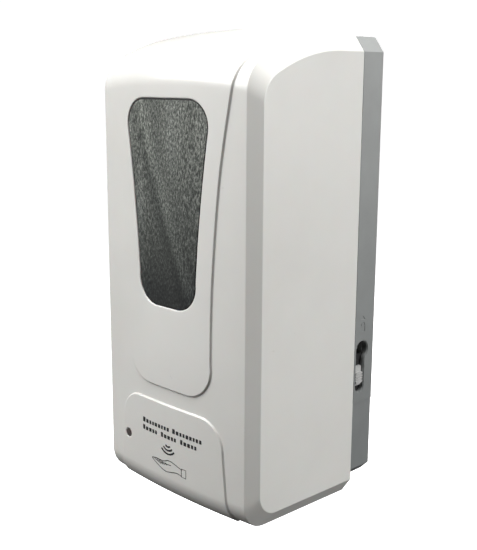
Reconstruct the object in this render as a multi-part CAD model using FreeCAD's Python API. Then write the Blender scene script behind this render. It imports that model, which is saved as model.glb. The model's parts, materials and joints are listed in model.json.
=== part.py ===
import FreeCAD, Part
import math
import os

# Wall mounted automatic soap dispenser, in millimetres.
# While it is built: +X is right seen from the front, the front faces -Y, the wall is the plane Y = 0,
# and Z = 0 is the underside of the cover's front. save() then moves the origin to the wall face.

# Driving dimensions of the enclosure
HEIGHT = 270.0
HALF_WIDTH = 65.0
DEPTH = 106.4
BEVEL = 6.2
CROWN = 3.5
BULGE = 3.4
SEAM_Y = -17.5
SEAM_GAP = 0.4
WALL = 2.6
TOP_CORNER_R = 20.0
TOP_SWEEP_R = 118.0
TOP_SWEEP_ANGLE = math.radians(27.0)
BOTTOM_CORNER_R = 16.0
BOTTOM_SLOPE = math.radians(1.3)
FLOOR_Z = -2.8
SIDE_TOP_DROP = 2.3
SIDE_FLOOR_LIFT = 2.8
SIDE_SOFTEN = 3.5
BEVEL_SHRINK = 2.0 - math.sqrt(2.0)
PAD_RISE = 1.0
LENS_RISE = 0.6
EDGE_R = 0.7
ORIGIN_Z = 182.0

# Hinge and latch
HINGE_Y = -11.0
HINGE_Z = 0.7
HINGE_PIN_R = 2.0
HINGE_FIT = 0.06
HINGE_X = 45.0
HOUSING_BOTTOM_Z = 5.0
SLIDER_X0 = 59.4
SLIDER_X1 = 62.1

# Pump and drive, all axes along Y
PUMP_Z = 46.0
PUMP_Y = -68.25
TUBE_R = 2.5
TUBE_BORE_R = 1.5
TUBE_TRACK_R = 19.3
TUBE_BEND_R = 12.0
WRAP_ANGLE = math.radians(60.0)
ROLLER_R = 5.0
ROLLER_ORBIT_R = 11.5
ROLLER_PIN_R = 1.5
ROLLER_COUNT = 3
SHAFT_R = 2.0
RUNNING_FIT = 0.06
GEAR_MODULE = 0.6
WHEEL_TEETH = 48
PINION_TEETH = 12
PRESSURE_ANGLE = math.radians(25.0)
BACKLASH = 0.16
COMPOUND_ANGLE = math.radians(30.0)
CENTRE_DISTANCE = GEAR_MODULE * (WHEEL_TEETH + PINION_TEETH) / 2.0
COMPOUND_X = CENTRE_DISTANCE * math.cos(COMPOUND_ANGLE)
COMPOUND_Z = PUMP_Z + CENTRE_DISTANCE * math.sin(COMPOUND_ANGLE)
MOTOR_X = 2.0 * COMPOUND_X
MOTOR_R = 12.0

# Pump module case
CASE_X = 50.0
CASE_FRONT_Y = -95.0
CASE_BACK_Y = -6.0
CASE_Z0 = 14.0
CASE_Z1 = 112.0
CASE_WALL = 2.0
LID_FRONT_Y = -97.0
LID_SCREWS = [(-46.0, 18.5), (46.0, 18.5), (-46.0, 107.5), (46.0, 107.5)]
LID_POST_R = 3.0
PLATE_X = 29.0
PLATE_Y0 = -87.0
PLATE_Y1 = -41.0
PLATE_Z0 = 0.6
OPENING_MARGIN = 1.0

# Soap tank
TANK_X = 54.0
TANK_Y0 = -96.0
TANK_Y1 = -12.0
TANK_TOP = 234.0
TANK_WALL = 1.6
TANK_EDGE_R = 10.0
NECK_Y = -52.0
NECK_R = 19.0
CAP_R = 22.0

# Battery bay
CELL_R = 7.1
CELL_PITCH = 15.0
CELL_Y = -85.1
CELL_COUNT = 4
BAY_X = 32.0
BAY_Z0 = 54.0

# Control board
BOARD_Y0 = -90.6
BOARD_Y1 = -89.0
BOARD_SCREWS = [(-42.5, 25.6), (42.5, 25.6), (-42.5, 46.0), (42.5, 46.0)]
LED_X = -38.9
LED_Z = 29.6


def vec(x, y, z):
    return FreeCAD.Vector(x, y, z)


def circle_point(x, y, z, radius, angle):
    """Point of a circle in the plane at x, with the angle measured from +Y towards +Z."""
    return vec(x, y + radius * math.cos(angle), z + radius * math.sin(angle))


def block(x0, x1, y0, y1, z0, z1):
    return Part.makeBox(x1 - x0, y1 - y0, z1 - z0, vec(x0, y0, z0))


def rod(start, end, radius):
    axis = vec(*end) - vec(*start)
    return Part.makeCylinder(radius, axis.Length, vec(*start), axis)


def fuse(shapes):
    result = shapes[0]
    if len(shapes) > 1:
        result = result.multiFuse(shapes[1:])
    return result.removeSplitter()


def cut(shape, tools):
    for tool in tools:
        shape = shape.cut(tool)
    return shape


def round_edges(shape, radius, keep):
    edges = [edge for edge in shape.Edges if keep(edge)]
    return shape.makeFillet(radius, edges)


def along(edge, axis):
    first, last = edge.Vertexes[0].Point, edge.Vertexes[-1].Point
    step = last - first
    return step.Length > 1e-6 and abs(abs(step.dot(axis)) / step.Length - 1.0) < 1e-6


def rounded_block(x0, x1, y0, y1, z0, z1, radius, axis):
    solid = block(x0, x1, y0, y1, z0, z1)
    return round_edges(solid, radius, lambda edge: along(edge, axis))


def save(name, shape):
    """Moves the shape so that the origin is on the wall face, and writes its file."""
    placed = shape.copy()
    placed.translate(vec(0, 0, -ORIGIN_Z))
    solids = placed.Solids
    result = solids[0] if len(solids) == 1 else Part.makeCompound(solids)
    result.exportStep("parts/" + name + ".step")


# Enclosure surfaces -------------------------------------------------------------------------------

def side_profile(x, front_y, top_z, floor_z, inset, soften, back_y):
    """Closed outline in the plane X = x: flat top, long sweep, tight corner, front, bottom corner."""
    corner = TOP_CORNER_R - inset + soften
    sweep = TOP_SWEEP_R - inset
    bottom = BOTTOM_CORNER_R - inset + soften
    front = front_y + inset
    top = top_z - inset
    lean = math.sin(TOP_SWEEP_ANGLE)
    rise = math.cos(TOP_SWEEP_ANGLE)
    join_y = front + corner * (1.0 - lean)
    join_z = top - sweep * (1.0 - rise)
    flat_y = join_y + sweep * lean
    corner_z = join_z - corner * rise
    half = (math.pi / 2.0 + TOP_SWEEP_ANGLE) / 2.0
    sweep_mid = TOP_SWEEP_ANGLE / 2.0
    bottom_y = front + bottom
    bottom_z = floor_z + inset + bottom
    slope = math.tan(BOTTOM_SLOPE)
    touch_y = bottom_y - bottom * math.sin(BOTTOM_SLOPE)
    touch_z = bottom_z - bottom * math.cos(BOTTOM_SLOPE)
    end_z = touch_z - slope * (back_y - touch_y)
    turn = (math.pi / 2.0 + BOTTOM_SLOPE) / 2.0

    def at(y, z):
        return vec(x, y, z)

    back_low = at(back_y, end_z)
    low = at(touch_y, touch_z)
    low_mid = at(bottom_y - bottom * math.sin(turn), bottom_z - bottom * math.cos(turn))
    front_low = at(front, bottom_z)
    front_high = at(front, corner_z)
    high_mid = at(front + corner - corner * math.sin(half), corner_z + corner * math.cos(half))
    join = at(join_y, join_z)
    sweep_point = at(flat_y - sweep * math.sin(sweep_mid), top - sweep + sweep * math.cos(sweep_mid))
    flat = at(flat_y, top)
    back_high = at(back_y, top)
    edges = [
        Part.LineSegment(back_low, low),
        Part.Arc(low, low_mid, front_low),
        Part.LineSegment(front_low, front_high),
        Part.Arc(front_high, high_mid, join),
        Part.Arc(join, sweep_point, flat),
        Part.LineSegment(flat, back_high),
        Part.LineSegment(back_high, back_low),
    ]
    return Part.Wire([edge.toShape() for edge in edges])


def enclosure(inset, back_y):
    """Solid inside the cover's outer surface moved inwards by inset, from its front to back_y."""
    bevel = BEVEL - inset * BEVEL_SHRINK
    side_x = HALF_WIDTH - inset
    edge_x = side_x - bevel
    reference_x = HALF_WIDTH - BEVEL

    def middle_section(x):
        share = (x / reference_x) ** 2
        return side_profile(x, BULGE * share - DEPTH, HEIGHT - CROWN * share, FLOOR_Z, inset, 0.0, back_y)

    def side_section(x):
        share = (edge_x / reference_x) ** 2
        top_z = HEIGHT - CROWN * share - SIDE_TOP_DROP
        floor_z = FLOOR_Z + SIDE_FLOOR_LIFT
        return side_profile(x, BULGE * share - DEPTH, top_z, floor_z, inset + bevel, SIDE_SOFTEN, back_y)

    middle = [middle_section(edge_x * step / 2.0) for step in (-2, -1, 0, 1, 2)]
    body = Part.makeLoft(middle, True, False)
    left = Part.makeLoft([side_section(-side_x), middle[0]], True, True)
    right = Part.makeLoft([middle[-1], side_section(side_x)], True, True)
    return body.fuse(left).fuse(right)


def mirrored_outline(start, steps, y):
    """Face in the plane Y = y. steps go from start, at X = 0, down the right side to X = 0 again."""
    edges = []
    here = start
    for step in steps:
        points = [here] + step
        right = [vec(x, y, z) for x, z in points]
        left = [vec(-x, y, z) for x, z in points]
        for path in (right, left):
            if len(path) == 2:
                edges.append(Part.LineSegment(path[0], path[1]).toShape())
            elif len(path) == 3:
                edges.append(Part.Arc(*path).toShape())
            else:
                curve = Part.BSplineCurve()
                curve.interpolate(path)
                edges.append(curve.toShape())
        here = step[-1]
    return Part.Face(Part.Wire(Part.__sortEdges__(edges)))


FAR_FRONT_Y = -130.0


def window_prism(grow, depth):
    """Window outline, grown outwards by grow, as a prism that starts in front of the cover."""
    steps = [
        [(19.0, 232.3 + grow)],
        [(30.0 + 0.7 * grow, 227.3 + 0.7 * grow), (33.3 + grow, 215.5)],
        [(27.5 + grow, 174.0), (23.8 + grow, 133.0)],
        [(20.0 + 0.7 * grow, 121.0 - 0.7 * grow), (9.6, 116.0 - grow)],
        [(0.0, 116.0 - grow)],
    ]
    face = mirrored_outline((0.0, 232.3 + grow), steps, FAR_FRONT_Y)
    return face.extrude(vec(0, depth, 0))


def shield_prism():
    """Raised shield: narrow and straight at its foot, flaring upwards and running over the top."""
    steps = [
        [(54.6, HEIGHT + 10.0)],
        [(54.6, 262.0)],
        [(48.8, 234.0), (41.2, 190.0), (36.2, 135.0), (34.9, 90.0)],
        [(30.2, 73.6), (17.5, 67.5)],
        [(0.0, 67.5)],
    ]
    face = mirrored_outline((0.0, HEIGHT + 10.0), steps, FAR_FRONT_Y)
    return face.extrude(vec(0, SEAM_Y - SEAM_GAP / 2.0 - FAR_FRONT_Y, 0))


def panel_prism():
    """Raised lower panel, which flares downwards and runs under the front edge."""
    steps = [
        [(27.0, 57.5)],
        [(37.8, 53.4), (43.8, 39.5)],
        [(48.6, -9.0)],
        [(0.0, -9.0)],
    ]
    face = mirrored_outline((0.0, 57.5), steps, FAR_FRONT_Y)
    return face.extrude(vec(0, PLATE_Y0 - FAR_FRONT_Y, 0))


def hinge_ear(side):
    """Arm bonded to the cover's bottom edge, with an eye that turns on the hinge pin."""
    x0 = side * HINGE_X - 3.0
    knuckle = rod((x0, HINGE_Y, HINGE_Z), (x0 + 6.0, HINGE_Y, HINGE_Z), 3.6)
    arm_points = [(-24.0, -3.3), (-24.0, -0.3), (HINGE_Y, 1.9), (HINGE_Y, -3.4), (-17.0, -4.4)]
    wire = Part.makePolygon([vec(x0, y, HINGE_Z + rise) for y, rise in arm_points + arm_points[:1]])
    arm = Part.Face(wire).extrude(vec(6.0, 0, 0))
    bore_r = HINGE_PIN_R + HINGE_FIT
    bore = rod((x0 - 1.0, HINGE_Y, HINGE_Z), (x0 + 7.0, HINGE_Y, HINGE_Z), bore_r)
    return fuse([knuckle, arm]).cut(bore)


def cover_catch():
    """Catch plate with a downward notch for the latch tooth, on a rib from the right side wall."""
    rib = block(55.3, HALF_WIDTH - WALL + 0.4, -34.0, -20.0, 84.0, 97.0)
    plate = block(55.3, 58.7, -24.0, -7.0, 84.0, 97.0)
    notch = block(54.0, 60.0, -14.2, -8.8, 83.0, 92.5)
    return fuse([rib, plate]).cut(notch)


def build_cover():
    back_y = SEAM_Y - SEAM_GAP / 2.0
    outer = enclosure(0.0, back_y)
    raised = enclosure(-PAD_RISE, back_y)
    shield = raised.common(shield_prism())
    panel = raised.common(panel_prism())
    inner = enclosure(WALL, 20.0)
    shell = outer.fuse([shield, panel]).cut(inner)
    shell = shell.cut(window_prism(0.0, 60.0))
    shell = shell.cut(rod((LED_X, FAR_FRONT_Y, LED_Z), (LED_X, -90.0, LED_Z), 2.5))
    floor_hole = rounded_block(-PLATE_X - OPENING_MARGIN, PLATE_X + OPENING_MARGIN,
                               PLATE_Y0 - OPENING_MARGIN, PLATE_Y1 + OPENING_MARGIN,
                               -8.0, 8.0, 5.0, vec(0, 0, 1))
    shell = shell.cut(floor_hole)
    rib_tools = enclosure(WALL - 0.3, back_y)
    ribs = []
    for side in (-1, 1):
        for z in (110.0, 236.0):
            rib = block(side * 60.0 - 3.2, side * 60.0 + 3.2, -99.0, -24.0, z, z + 1.6)
            ribs.append(rib.cut(block(-56.6, 56.6, -120.0, 0.0, z - 1.0, z + 3.0)).common(rib_tools))
    return shell.fuse(ribs)


def build_window():
    """Lens that fills the window from behind, with a flange glued inside the cover."""
    inside = enclosure(WALL, 20.0)
    flange = window_prism(3.0, 60.0)
    lens = enclosure(0.3 - LENS_RISE, 20.0).cut(inside).common(window_prism(-0.4, 60.0))
    crown = enclosure(-LENS_RISE, 20.0).cut(inside).common(window_prism(-0.8, 60.0))
    backing = inside.cut(enclosure(WALL + 1.2, 20.0)).common(flange)
    return lens.fuse([crown, backing])


def build_light_pipe():
    stem = rod((LED_X, -105.6, LED_Z), (LED_X, -99.4, LED_Z), 2.45)
    collar = rod((LED_X, -101.9, LED_Z), (LED_X, -100.6, LED_Z), 3.6)
    inside = enclosure(WALL, 20.0)
    return stem.fuse(collar.common(inside))


# Rear housing and latch ---------------------------------------------------------------------------

def housing_outline(inset, y):
    """Front view outline of the housing: arched top, bevelled corners, flat raised bottom."""
    bevel = BEVEL - inset * BEVEL_SHRINK
    side = HALF_WIDTH - inset
    edge = side - bevel
    share = (edge / (HALF_WIDTH - BEVEL)) ** 2
    shoulder = HEIGHT - CROWN * share - inset
    side_top = shoulder - bevel - SIDE_TOP_DROP
    bottom = HOUSING_BOTTOM_Z + inset
    right = [vec(edge, y, bottom), vec(side, y, bottom + bevel), vec(side, y, side_top),
             vec(edge, y, shoulder)]
    left = [vec(-p.x, p.y, p.z) for p in reversed(right)]
    edges = [Part.LineSegment(a, b).toShape() for a, b in zip(right, right[1:])]
    edges.append(Part.Arc(right[-1], vec(0, y, HEIGHT - inset), left[0]).toShape())
    edges += [Part.LineSegment(a, b).toShape() for a, b in zip(left, left[1:])]
    edges.append(Part.LineSegment(left[-1], right[0]).toShape())
    return Part.Face(Part.Wire(edges))


KEY_Y = -10.35
KEY_Z = 85.5
KEY_R = 5.15
SLOT_Y0 = -15.5
SLOT_Y1 = -8.3
SLOT_END_Z = 59.3
NECK_FILLET_R = 4.0
SCREW_X = 40.0
SCREW_Z = 55.0
SCREW_HOLE_R = 2.5
CASE_SCREWS = [(-43.0, 24.0), (43.0, 24.0), (-43.0, 100.0), (43.0, 100.0)]


def latch_opening(x0, x1, grow):
    """Keyhole through the right wall: a round eye that necks in on its wall side to a straight slot."""
    eye_r = KEY_R + grow
    neck_r = NECK_FILLET_R - grow
    front, back = SLOT_Y0 - grow, SLOT_Y1 + grow
    foot_r = (back - front) / 2.0
    foot_z = SLOT_END_Z - grow + foot_r
    neck_y = back + neck_r
    neck_z = KEY_Z - math.sqrt((eye_r + neck_r) ** 2 - (neck_y - KEY_Y) ** 2)
    share = eye_r / (eye_r + neck_r)
    join = vec(x0, KEY_Y + share * (neck_y - KEY_Y), KEY_Z + share * (neck_z - KEY_Z))
    turn = 0.5 * math.atan2(KEY_Z - neck_z, neck_y - KEY_Y)
    neck_middle = vec(x0, neck_y - neck_r * math.cos(turn), neck_z + neck_r * math.sin(turn))
    eye_front = vec(x0, front, KEY_Z)
    eye_back = vec(x0, KEY_Y + eye_r, KEY_Z)
    slot_back = vec(x0, back, neck_z)
    foot_back, foot_front = vec(x0, back, foot_z), vec(x0, front, foot_z)
    edges = [
        Part.Arc(eye_front, vec(x0, KEY_Y, KEY_Z + eye_r), eye_back).toShape(),
        Part.Arc(eye_back, circle_point(x0, KEY_Y, KEY_Z, eye_r, -turn), join).toShape(),
        Part.Arc(join, neck_middle, slot_back).toShape(),
        Part.LineSegment(slot_back, foot_back).toShape(),
        Part.Arc(foot_back, vec(x0, back - foot_r, foot_z - foot_r), foot_front).toShape(),
        Part.LineSegment(foot_front, eye_front).toShape(),
    ]
    return Part.Face(Part.Wire(edges)).extrude(vec(x1 - x0, 0, 0))


def latch_mark():
    """Engraved sign above the latch: an open padlock and an arrowhead that points up."""
    x0, depth = HALF_WIDTH - 0.25, 1.0
    body = block(x0, x0 + depth, KEY_Y - 2.2, KEY_Y + 2.2, 96.6, 99.8)
    ring = rod((x0, KEY_Y, 100.4), (x0 + depth, KEY_Y, 100.4), 1.9)
    hole = rod((x0 - 1.0, KEY_Y, 100.4), (x0 + depth + 1.0, KEY_Y, 100.4), 1.3)
    shackle = ring.cut(hole).cut(block(x0 - 1.0, x0 + 2.0, KEY_Y - 3.0, KEY_Y + 3.0, 97.0, 100.2))
    tip = [vec(x0, KEY_Y - 2.0, 104.0), vec(x0, KEY_Y + 2.0, 104.0), vec(x0, KEY_Y, 106.2)]
    arrow = Part.Face(Part.makePolygon(tip + tip[:1])).extrude(vec(depth, 0, 0))
    return [body, shackle, arrow]


def build_housing():
    front_y = SEAM_Y + SEAM_GAP / 2.0
    depth = -front_y
    outer = housing_outline(0.0, front_y).extrude(vec(0, depth, 0))
    outer = round_edges(outer, EDGE_R, lambda edge: along(edge, vec(0, 1, 0)))
    inner = housing_outline(WALL, front_y - 1.0).extrude(vec(0, depth + 1.0 - WALL, 0))
    shell = outer.cut(inner)
    for side in (-1, 1):
        step = block(side * HALF_WIDTH - 0.4, side * HALF_WIDTH + 0.4, -30.0, 5.0, 0.0, 53.0)
        shell = shell.cut(step)
    adds = []
    for side in (-1, 1):
        for z in (-SCREW_Z, SCREW_Z):
            x = side * SCREW_X
            adds.append(rod((x, -5.2, ORIGIN_Z + z), (x, -WALL, ORIGIN_Z + z), 7.0))
    for x, z in CASE_SCREWS:
        adds.append(rod((x, CASE_BACK_Y, z), (x, -WALL, z), 4.5))
    for x in (-22.0, 22.0):
        adds.append(block(x - 0.8, x + 0.8, -5.0, -WALL, 16.0, 255.0))
    for z in (116.0, ORIGIN_Z, 250.0):
        adds.append(block(-58.0, 58.0, -5.0, -WALL, z - 0.8, z + 0.8))
    for side in (-1, 1):
        for x in (side * HINGE_X - 5.4, side * HINGE_X + 5.4):
            lug = rod((x - 2.0, HINGE_Y, HINGE_Z), (x + 2.0, HINGE_Y, HINGE_Z), 3.6)
            web = block(x - 2.0, x + 2.0, HINGE_Y - 3.6, HINGE_Y + 3.6, HINGE_Z, HOUSING_BOTTOM_Z + 1.0)
            adds.append(lug.fuse(web))
    adds.append(block(59.1, 62.6, -6.2, -4.8, 55.0, 96.0))
    adds.append(block(59.1, 62.6, -17.3, -16.3, 55.0, 96.0))
    shell = shell.fuse(adds)
    cuts = [latch_opening(61.0, 67.0, 0.0)]
    cuts.append(latch_opening(HALF_WIDTH - 0.5, 67.0, 0.5))
    cuts += latch_mark()
    for side in (-1, 1):
        cuts.append(rod((side * HINGE_X - 12.0, HINGE_Y, HINGE_Z),
                        (side * HINGE_X + 12.0, HINGE_Y, HINGE_Z), HINGE_PIN_R))
        for z in (-SCREW_Z, SCREW_Z):
            x = side * SCREW_X
            cuts.append(rod((x, -9.0, ORIGIN_Z + z), (x, 1.0, ORIGIN_Z + z), SCREW_HOLE_R))
    for x, z in CASE_SCREWS:
        cuts.append(rod((x, -9.0, z), (x, -1.0, z), 1.4))
    return cut(shell, cuts)


def build_hinge_pins():
    for name, side in (("left", -1), ("right", 1)):
        x = side * HINGE_X
        pin = rod((x - 8.0, HINGE_Y, HINGE_Z), (x + 8.0, HINGE_Y, HINGE_Z), HINGE_PIN_R)
        outer = x + side * 8.0
        head = rod((outer, HINGE_Y, HINGE_Z), (outer + side * 1.2, HINGE_Y, HINGE_Z), 3.0)
        save("hinge_pin_" + name, pin.fuse(head))


def build_latch():
    plate = block(SLIDER_X0, SLIDER_X1, -15.9, -6.6, 57.5, 82.0)
    tooth = block(55.6, SLIDER_X0, -13.5, -9.5, 72.0, 81.5)
    save("latch_slider", fuse([plate, tooth]))
    base = rounded_block(SLIDER_X1, 63.4, -14.6, -8.7, 63.2, 75.2, 1.2, vec(1, 0, 0))
    thumb = rounded_block(SLIDER_X1, 64.6, -14.6, -8.7, 64.6, 71.6, 1.2, vec(1, 0, 0))
    grips = [block(64.1, 65.5, -16.0, -8.0, z, z + 0.7) for z in (66.2, 67.8, 69.4)]
    save("latch_tab", cut(fuse([base, thumb]), grips))
    strap = block(57.2, SLIDER_X0 - 0.3, -16.9, -4.6, 55.0, 69.5)
    seat = block(SLIDER_X0 - 0.3, 62.4, -4.6, -3.0, 55.0, 69.5)
    foot = block(57.2, SLIDER_X0 - 0.3, -4.6, -3.0, 55.0, 69.5)
    save("latch_retainer", fuse([strap, foot, seat]))


# Pump module --------------------------------------------------------------------------------------

def build_case():
    shell = block(-CASE_X, CASE_X, CASE_FRONT_Y, CASE_BACK_Y, CASE_Z0, CASE_Z1)
    shell = round_edges(shell, 4.0, lambda edge: along(edge, vec(0, 1, 0)))
    hollow = block(-CASE_X + CASE_WALL, CASE_X - CASE_WALL, CASE_FRONT_Y - 1.0,
                   CASE_BACK_Y - CASE_WALL, CASE_Z0 + CASE_WALL, CASE_Z1 - CASE_WALL)
    hollow = round_edges(hollow, 2.0, lambda edge: along(edge, vec(0, 1, 0)))
    case = shell.cut(hollow)
    posts = [rod((x, CASE_FRONT_Y, z), (x, CASE_BACK_Y - 1.0, z), LID_POST_R) for x, z in LID_SCREWS]
    case = case.fuse(posts)
    cuts = [
        rod((0, PUMP_Y, 105.0), (0, PUMP_Y, 115.0), 9.0),
        rod((0, PUMP_Y, 10.0), (0, PUMP_Y, 18.0), 4.2),
        block(-8.0, 8.0, -84.0, -77.0, 10.0, 18.0),
    ]
    for x, z in CASE_SCREWS:
        cuts.append(rod((x, -12.0, z), (x, -2.0, z), 1.6))
    for x, z in LID_SCREWS:
        cuts.append(rod((x, CASE_FRONT_Y - 1.0, z), (x, CASE_FRONT_Y + 11.0, z), 1.0))
    save("module_case", cut(case, cuts))


def build_lid():
    lid = rounded_block(-CASE_X, CASE_X, LID_FRONT_Y, CASE_FRONT_Y, CASE_Z0, CASE_Z1, 4.0, vec(0, 1, 0))
    cuts = [
        block(-30.0, 30.0, -100.0, -90.0, 56.0, 108.5),
        block(-32.0, 32.0, -100.0, -90.0, 58.0, 72.0),
        block(12.4, 21.6, -100.0, -90.0, 32.0, 37.0),
        block(-13.6, -1.4, -100.0, -90.0, 32.0, 37.0),
        rod((LED_X, -100.0, LED_Z), (LED_X, -90.0, LED_Z), 3.0),
    ]
    for x, z in LID_SCREWS:
        cuts.append(rod((x, -100.0, z), (x, -90.0, z), 1.3))
    save("case_lid", cut(lid, cuts))


def pan_head_screw(tip, head, shank_r, head_r, head_h):
    """Screw from tip to the underside of its head, with a cross recess."""
    axis = (vec(*head) - vec(*tip)).normalize()
    top = vec(*head) + axis * head_h
    shank = rod(tip, head, shank_r)
    cap = rod(head, (top.x, top.y, top.z), head_r)
    low = top - axis * (head_h * 0.5)
    size = head_r * 1.2
    side = vec(1, 0, 0) if abs(axis.x) < 0.5 else vec(0, 1, 0)
    other = axis.cross(side)
    slots = []
    for first, second in ((side, other), (other, side)):
        corner = low - first * (size / 2.0) - second * (head_r * 0.12)
        points = [corner, corner + first * size, corner + first * size + second * (head_r * 0.24),
                  corner + second * (head_r * 0.24), corner]
        slots.append(Part.Face(Part.makePolygon(points)).extrude(axis * head_h))
    return cut(shank.fuse(cap), slots)


def build_screws():
    case_screws = [pan_head_screw((x, -3.6, z), (x, CASE_BACK_Y - CASE_WALL, z), 1.4, 2.9, 1.8)
                   for x, z in CASE_SCREWS]
    save("case_screws", Part.makeCompound(case_screws))
    lid_screws = [pan_head_screw((x, CASE_FRONT_Y + 8.0, z), (x, LID_FRONT_Y, z), 1.0, 2.2, 1.4)
                  for x, z in LID_SCREWS]
    save("lid_screws", Part.makeCompound(lid_screws))


def build_nozzle_plate():
    tray = rounded_block(-PLATE_X, PLATE_X, PLATE_Y0, PLATE_Y1, PLATE_Z0, CASE_Z0, 4.5, vec(0, 0, 1))
    inside = rounded_block(-PLATE_X + 1.8, PLATE_X - 1.8, PLATE_Y0 + 1.8, PLATE_Y1 - 1.8,
                           PLATE_Z0 + 1.8, CASE_Z0 + 1.0, 2.7, vec(0, 0, 1))
    cuts = [inside, rod((0, PUMP_Y, -2.0), (0, PUMP_Y, 5.0), 4.0),
            block(-10.0, 10.0, -84.5, -76.5, -2.0, 5.0)]
    save("nozzle_plate", cut(tray, cuts))
    window = block(-10.0, 10.0, -84.5, -76.5, PLATE_Z0, PLATE_Z0 + 1.4)
    rim = block(-11.5, 11.5, -85.0, -75.5, PLATE_Z0 + 1.8, PLATE_Z0 + 2.6)
    bridge = block(-9.9, 9.9, -84.4, -76.6, PLATE_Z0 + 1.4, PLATE_Z0 + 1.8)
    save("sensor_window", fuse([window, bridge, rim]))
    barrel = rod((0, PUMP_Y, -1.2), (0, PUMP_Y, 12.5), 4.0)
    flange = rod((0, PUMP_Y, PLATE_Z0 + 1.8), (0, PUMP_Y, PLATE_Z0 + 3.2), 5.6)
    socket = rod((0, PUMP_Y, 7.0), (0, PUMP_Y, 13.0), TUBE_R)
    bore = rod((0, PUMP_Y, -3.0), (0, PUMP_Y, 8.0), 1.2)
    save("nozzle", cut(fuse([barrel, flange]), [socket, bore]))


def build_sensor():
    save("sensor_board", block(-12.0, 12.0, -85.0, -74.8, 7.6, 8.8))
    eyes = []
    for x in (-5.5, 5.5):
        body = rod((x, -80.4, 5.0), (x, -80.4, 7.6), 2.2)
        dome = Part.makeSphere(2.2, vec(x, -80.4, 5.2))
        eyes.append(body.fuse(dome.common(block(x - 3, x + 3, -84, -77, 3.2, 5.2))))
    save("sensor_eyes", Part.makeCompound(eyes))


def tube_path():
    """Centreline from the spigot, round the raceway on the right, to the nozzle."""
    wrap_x = TUBE_TRACK_R * math.cos(WRAP_ANGLE)
    wrap_z = TUBE_TRACK_R * math.sin(WRAP_ANGLE)
    corner = wrap_z + wrap_x / math.tan(WRAP_ANGLE)
    reach = TUBE_BEND_R * math.tan(WRAP_ANGLE / 2.0)
    upper, lower = [], []
    turn_z = corner + reach
    mid_x = TUBE_BEND_R * (1.0 - math.cos(WRAP_ANGLE / 2.0))
    mid_z = turn_z - TUBE_BEND_R * math.sin(WRAP_ANGLE / 2.0)
    end_x = TUBE_BEND_R * (1.0 - math.cos(WRAP_ANGLE))
    end_z = turn_z - TUBE_BEND_R * math.sin(WRAP_ANGLE)
    for sign, points in ((1, upper), (-1, lower)):
        for x, z in ((0.0, turn_z), (mid_x, mid_z), (end_x, end_z), (wrap_x, wrap_z)):
            points.append(vec(x, PUMP_Y, PUMP_Z + sign * z))
    top = vec(0, PUMP_Y, 103.0)
    foot = vec(0, PUMP_Y, 7.0)
    middle = vec(TUBE_TRACK_R, PUMP_Y, PUMP_Z)
    edges = [
        Part.LineSegment(top, upper[0]), Part.Arc(*upper[:3]), Part.LineSegment(upper[2], upper[3]),
        Part.Arc(upper[3], middle, lower[3]), Part.LineSegment(lower[3], lower[2]),
        Part.Arc(lower[2], lower[1], lower[0]), Part.LineSegment(lower[0], foot),
    ]
    return Part.Wire([edge.toShape() for edge in edges])


def swept_rod(path, radius):
    start = path.Edges[0].valueAt(path.Edges[0].FirstParameter)
    direction = path.Edges[0].tangentAt(path.Edges[0].FirstParameter)
    ring = Part.Wire(Part.Circle(start, direction, radius).toShape())
    return path.makePipeShell([ring], True, True)


def build_pump():
    path = tube_path()
    tube = swept_rod(path, TUBE_R).cut(swept_rod(path, TUBE_BORE_R))
    save("pump_tube", tube)
    body = block(-24.0, 27.0, -74.0, -60.0, CASE_Z0 + CASE_WALL, PUMP_Z + 28.0)
    body = round_edges(body, 3.0, lambda edge: along(edge, vec(0, 1, 0)))
    pocket = rod((0, -75.0, PUMP_Z), (0, -62.5, PUMP_Z), TUBE_TRACK_R + TUBE_R + 0.1)
    channel = swept_rod(path, TUBE_R + 0.15)
    slots = [block(-2.6, 2.6, -75.0, PUMP_Y, PUMP_Z + 20.0, PUMP_Z + 30.0),
             block(-2.6, 2.6, -75.0, PUMP_Y, 10.0, PUMP_Z - 20.0)]
    bearing = rod((0, -70.0, PUMP_Z), (0, -50.0, PUMP_Z), SHAFT_R + RUNNING_FIT)
    gear_pin_hole = rod((COMPOUND_X, -61.6, COMPOUND_Z), (COMPOUND_X, -50.0, COMPOUND_Z), 1.5)
    save("pump_body", cut(body, [pocket, channel, bearing, gear_pin_hole] + slots))
    plate = block(-24.0, 27.0, -76.0, -74.0, CASE_Z0 + CASE_WALL, PUMP_Z + 28.0)
    plate = round_edges(plate, 3.0, lambda edge: along(edge, vec(0, 1, 0)))
    save("pump_cover_plate", plate.cut(rod((0, -80, PUMP_Z), (0, -70, PUMP_Z), SHAFT_R + RUNNING_FIT)))


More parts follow.
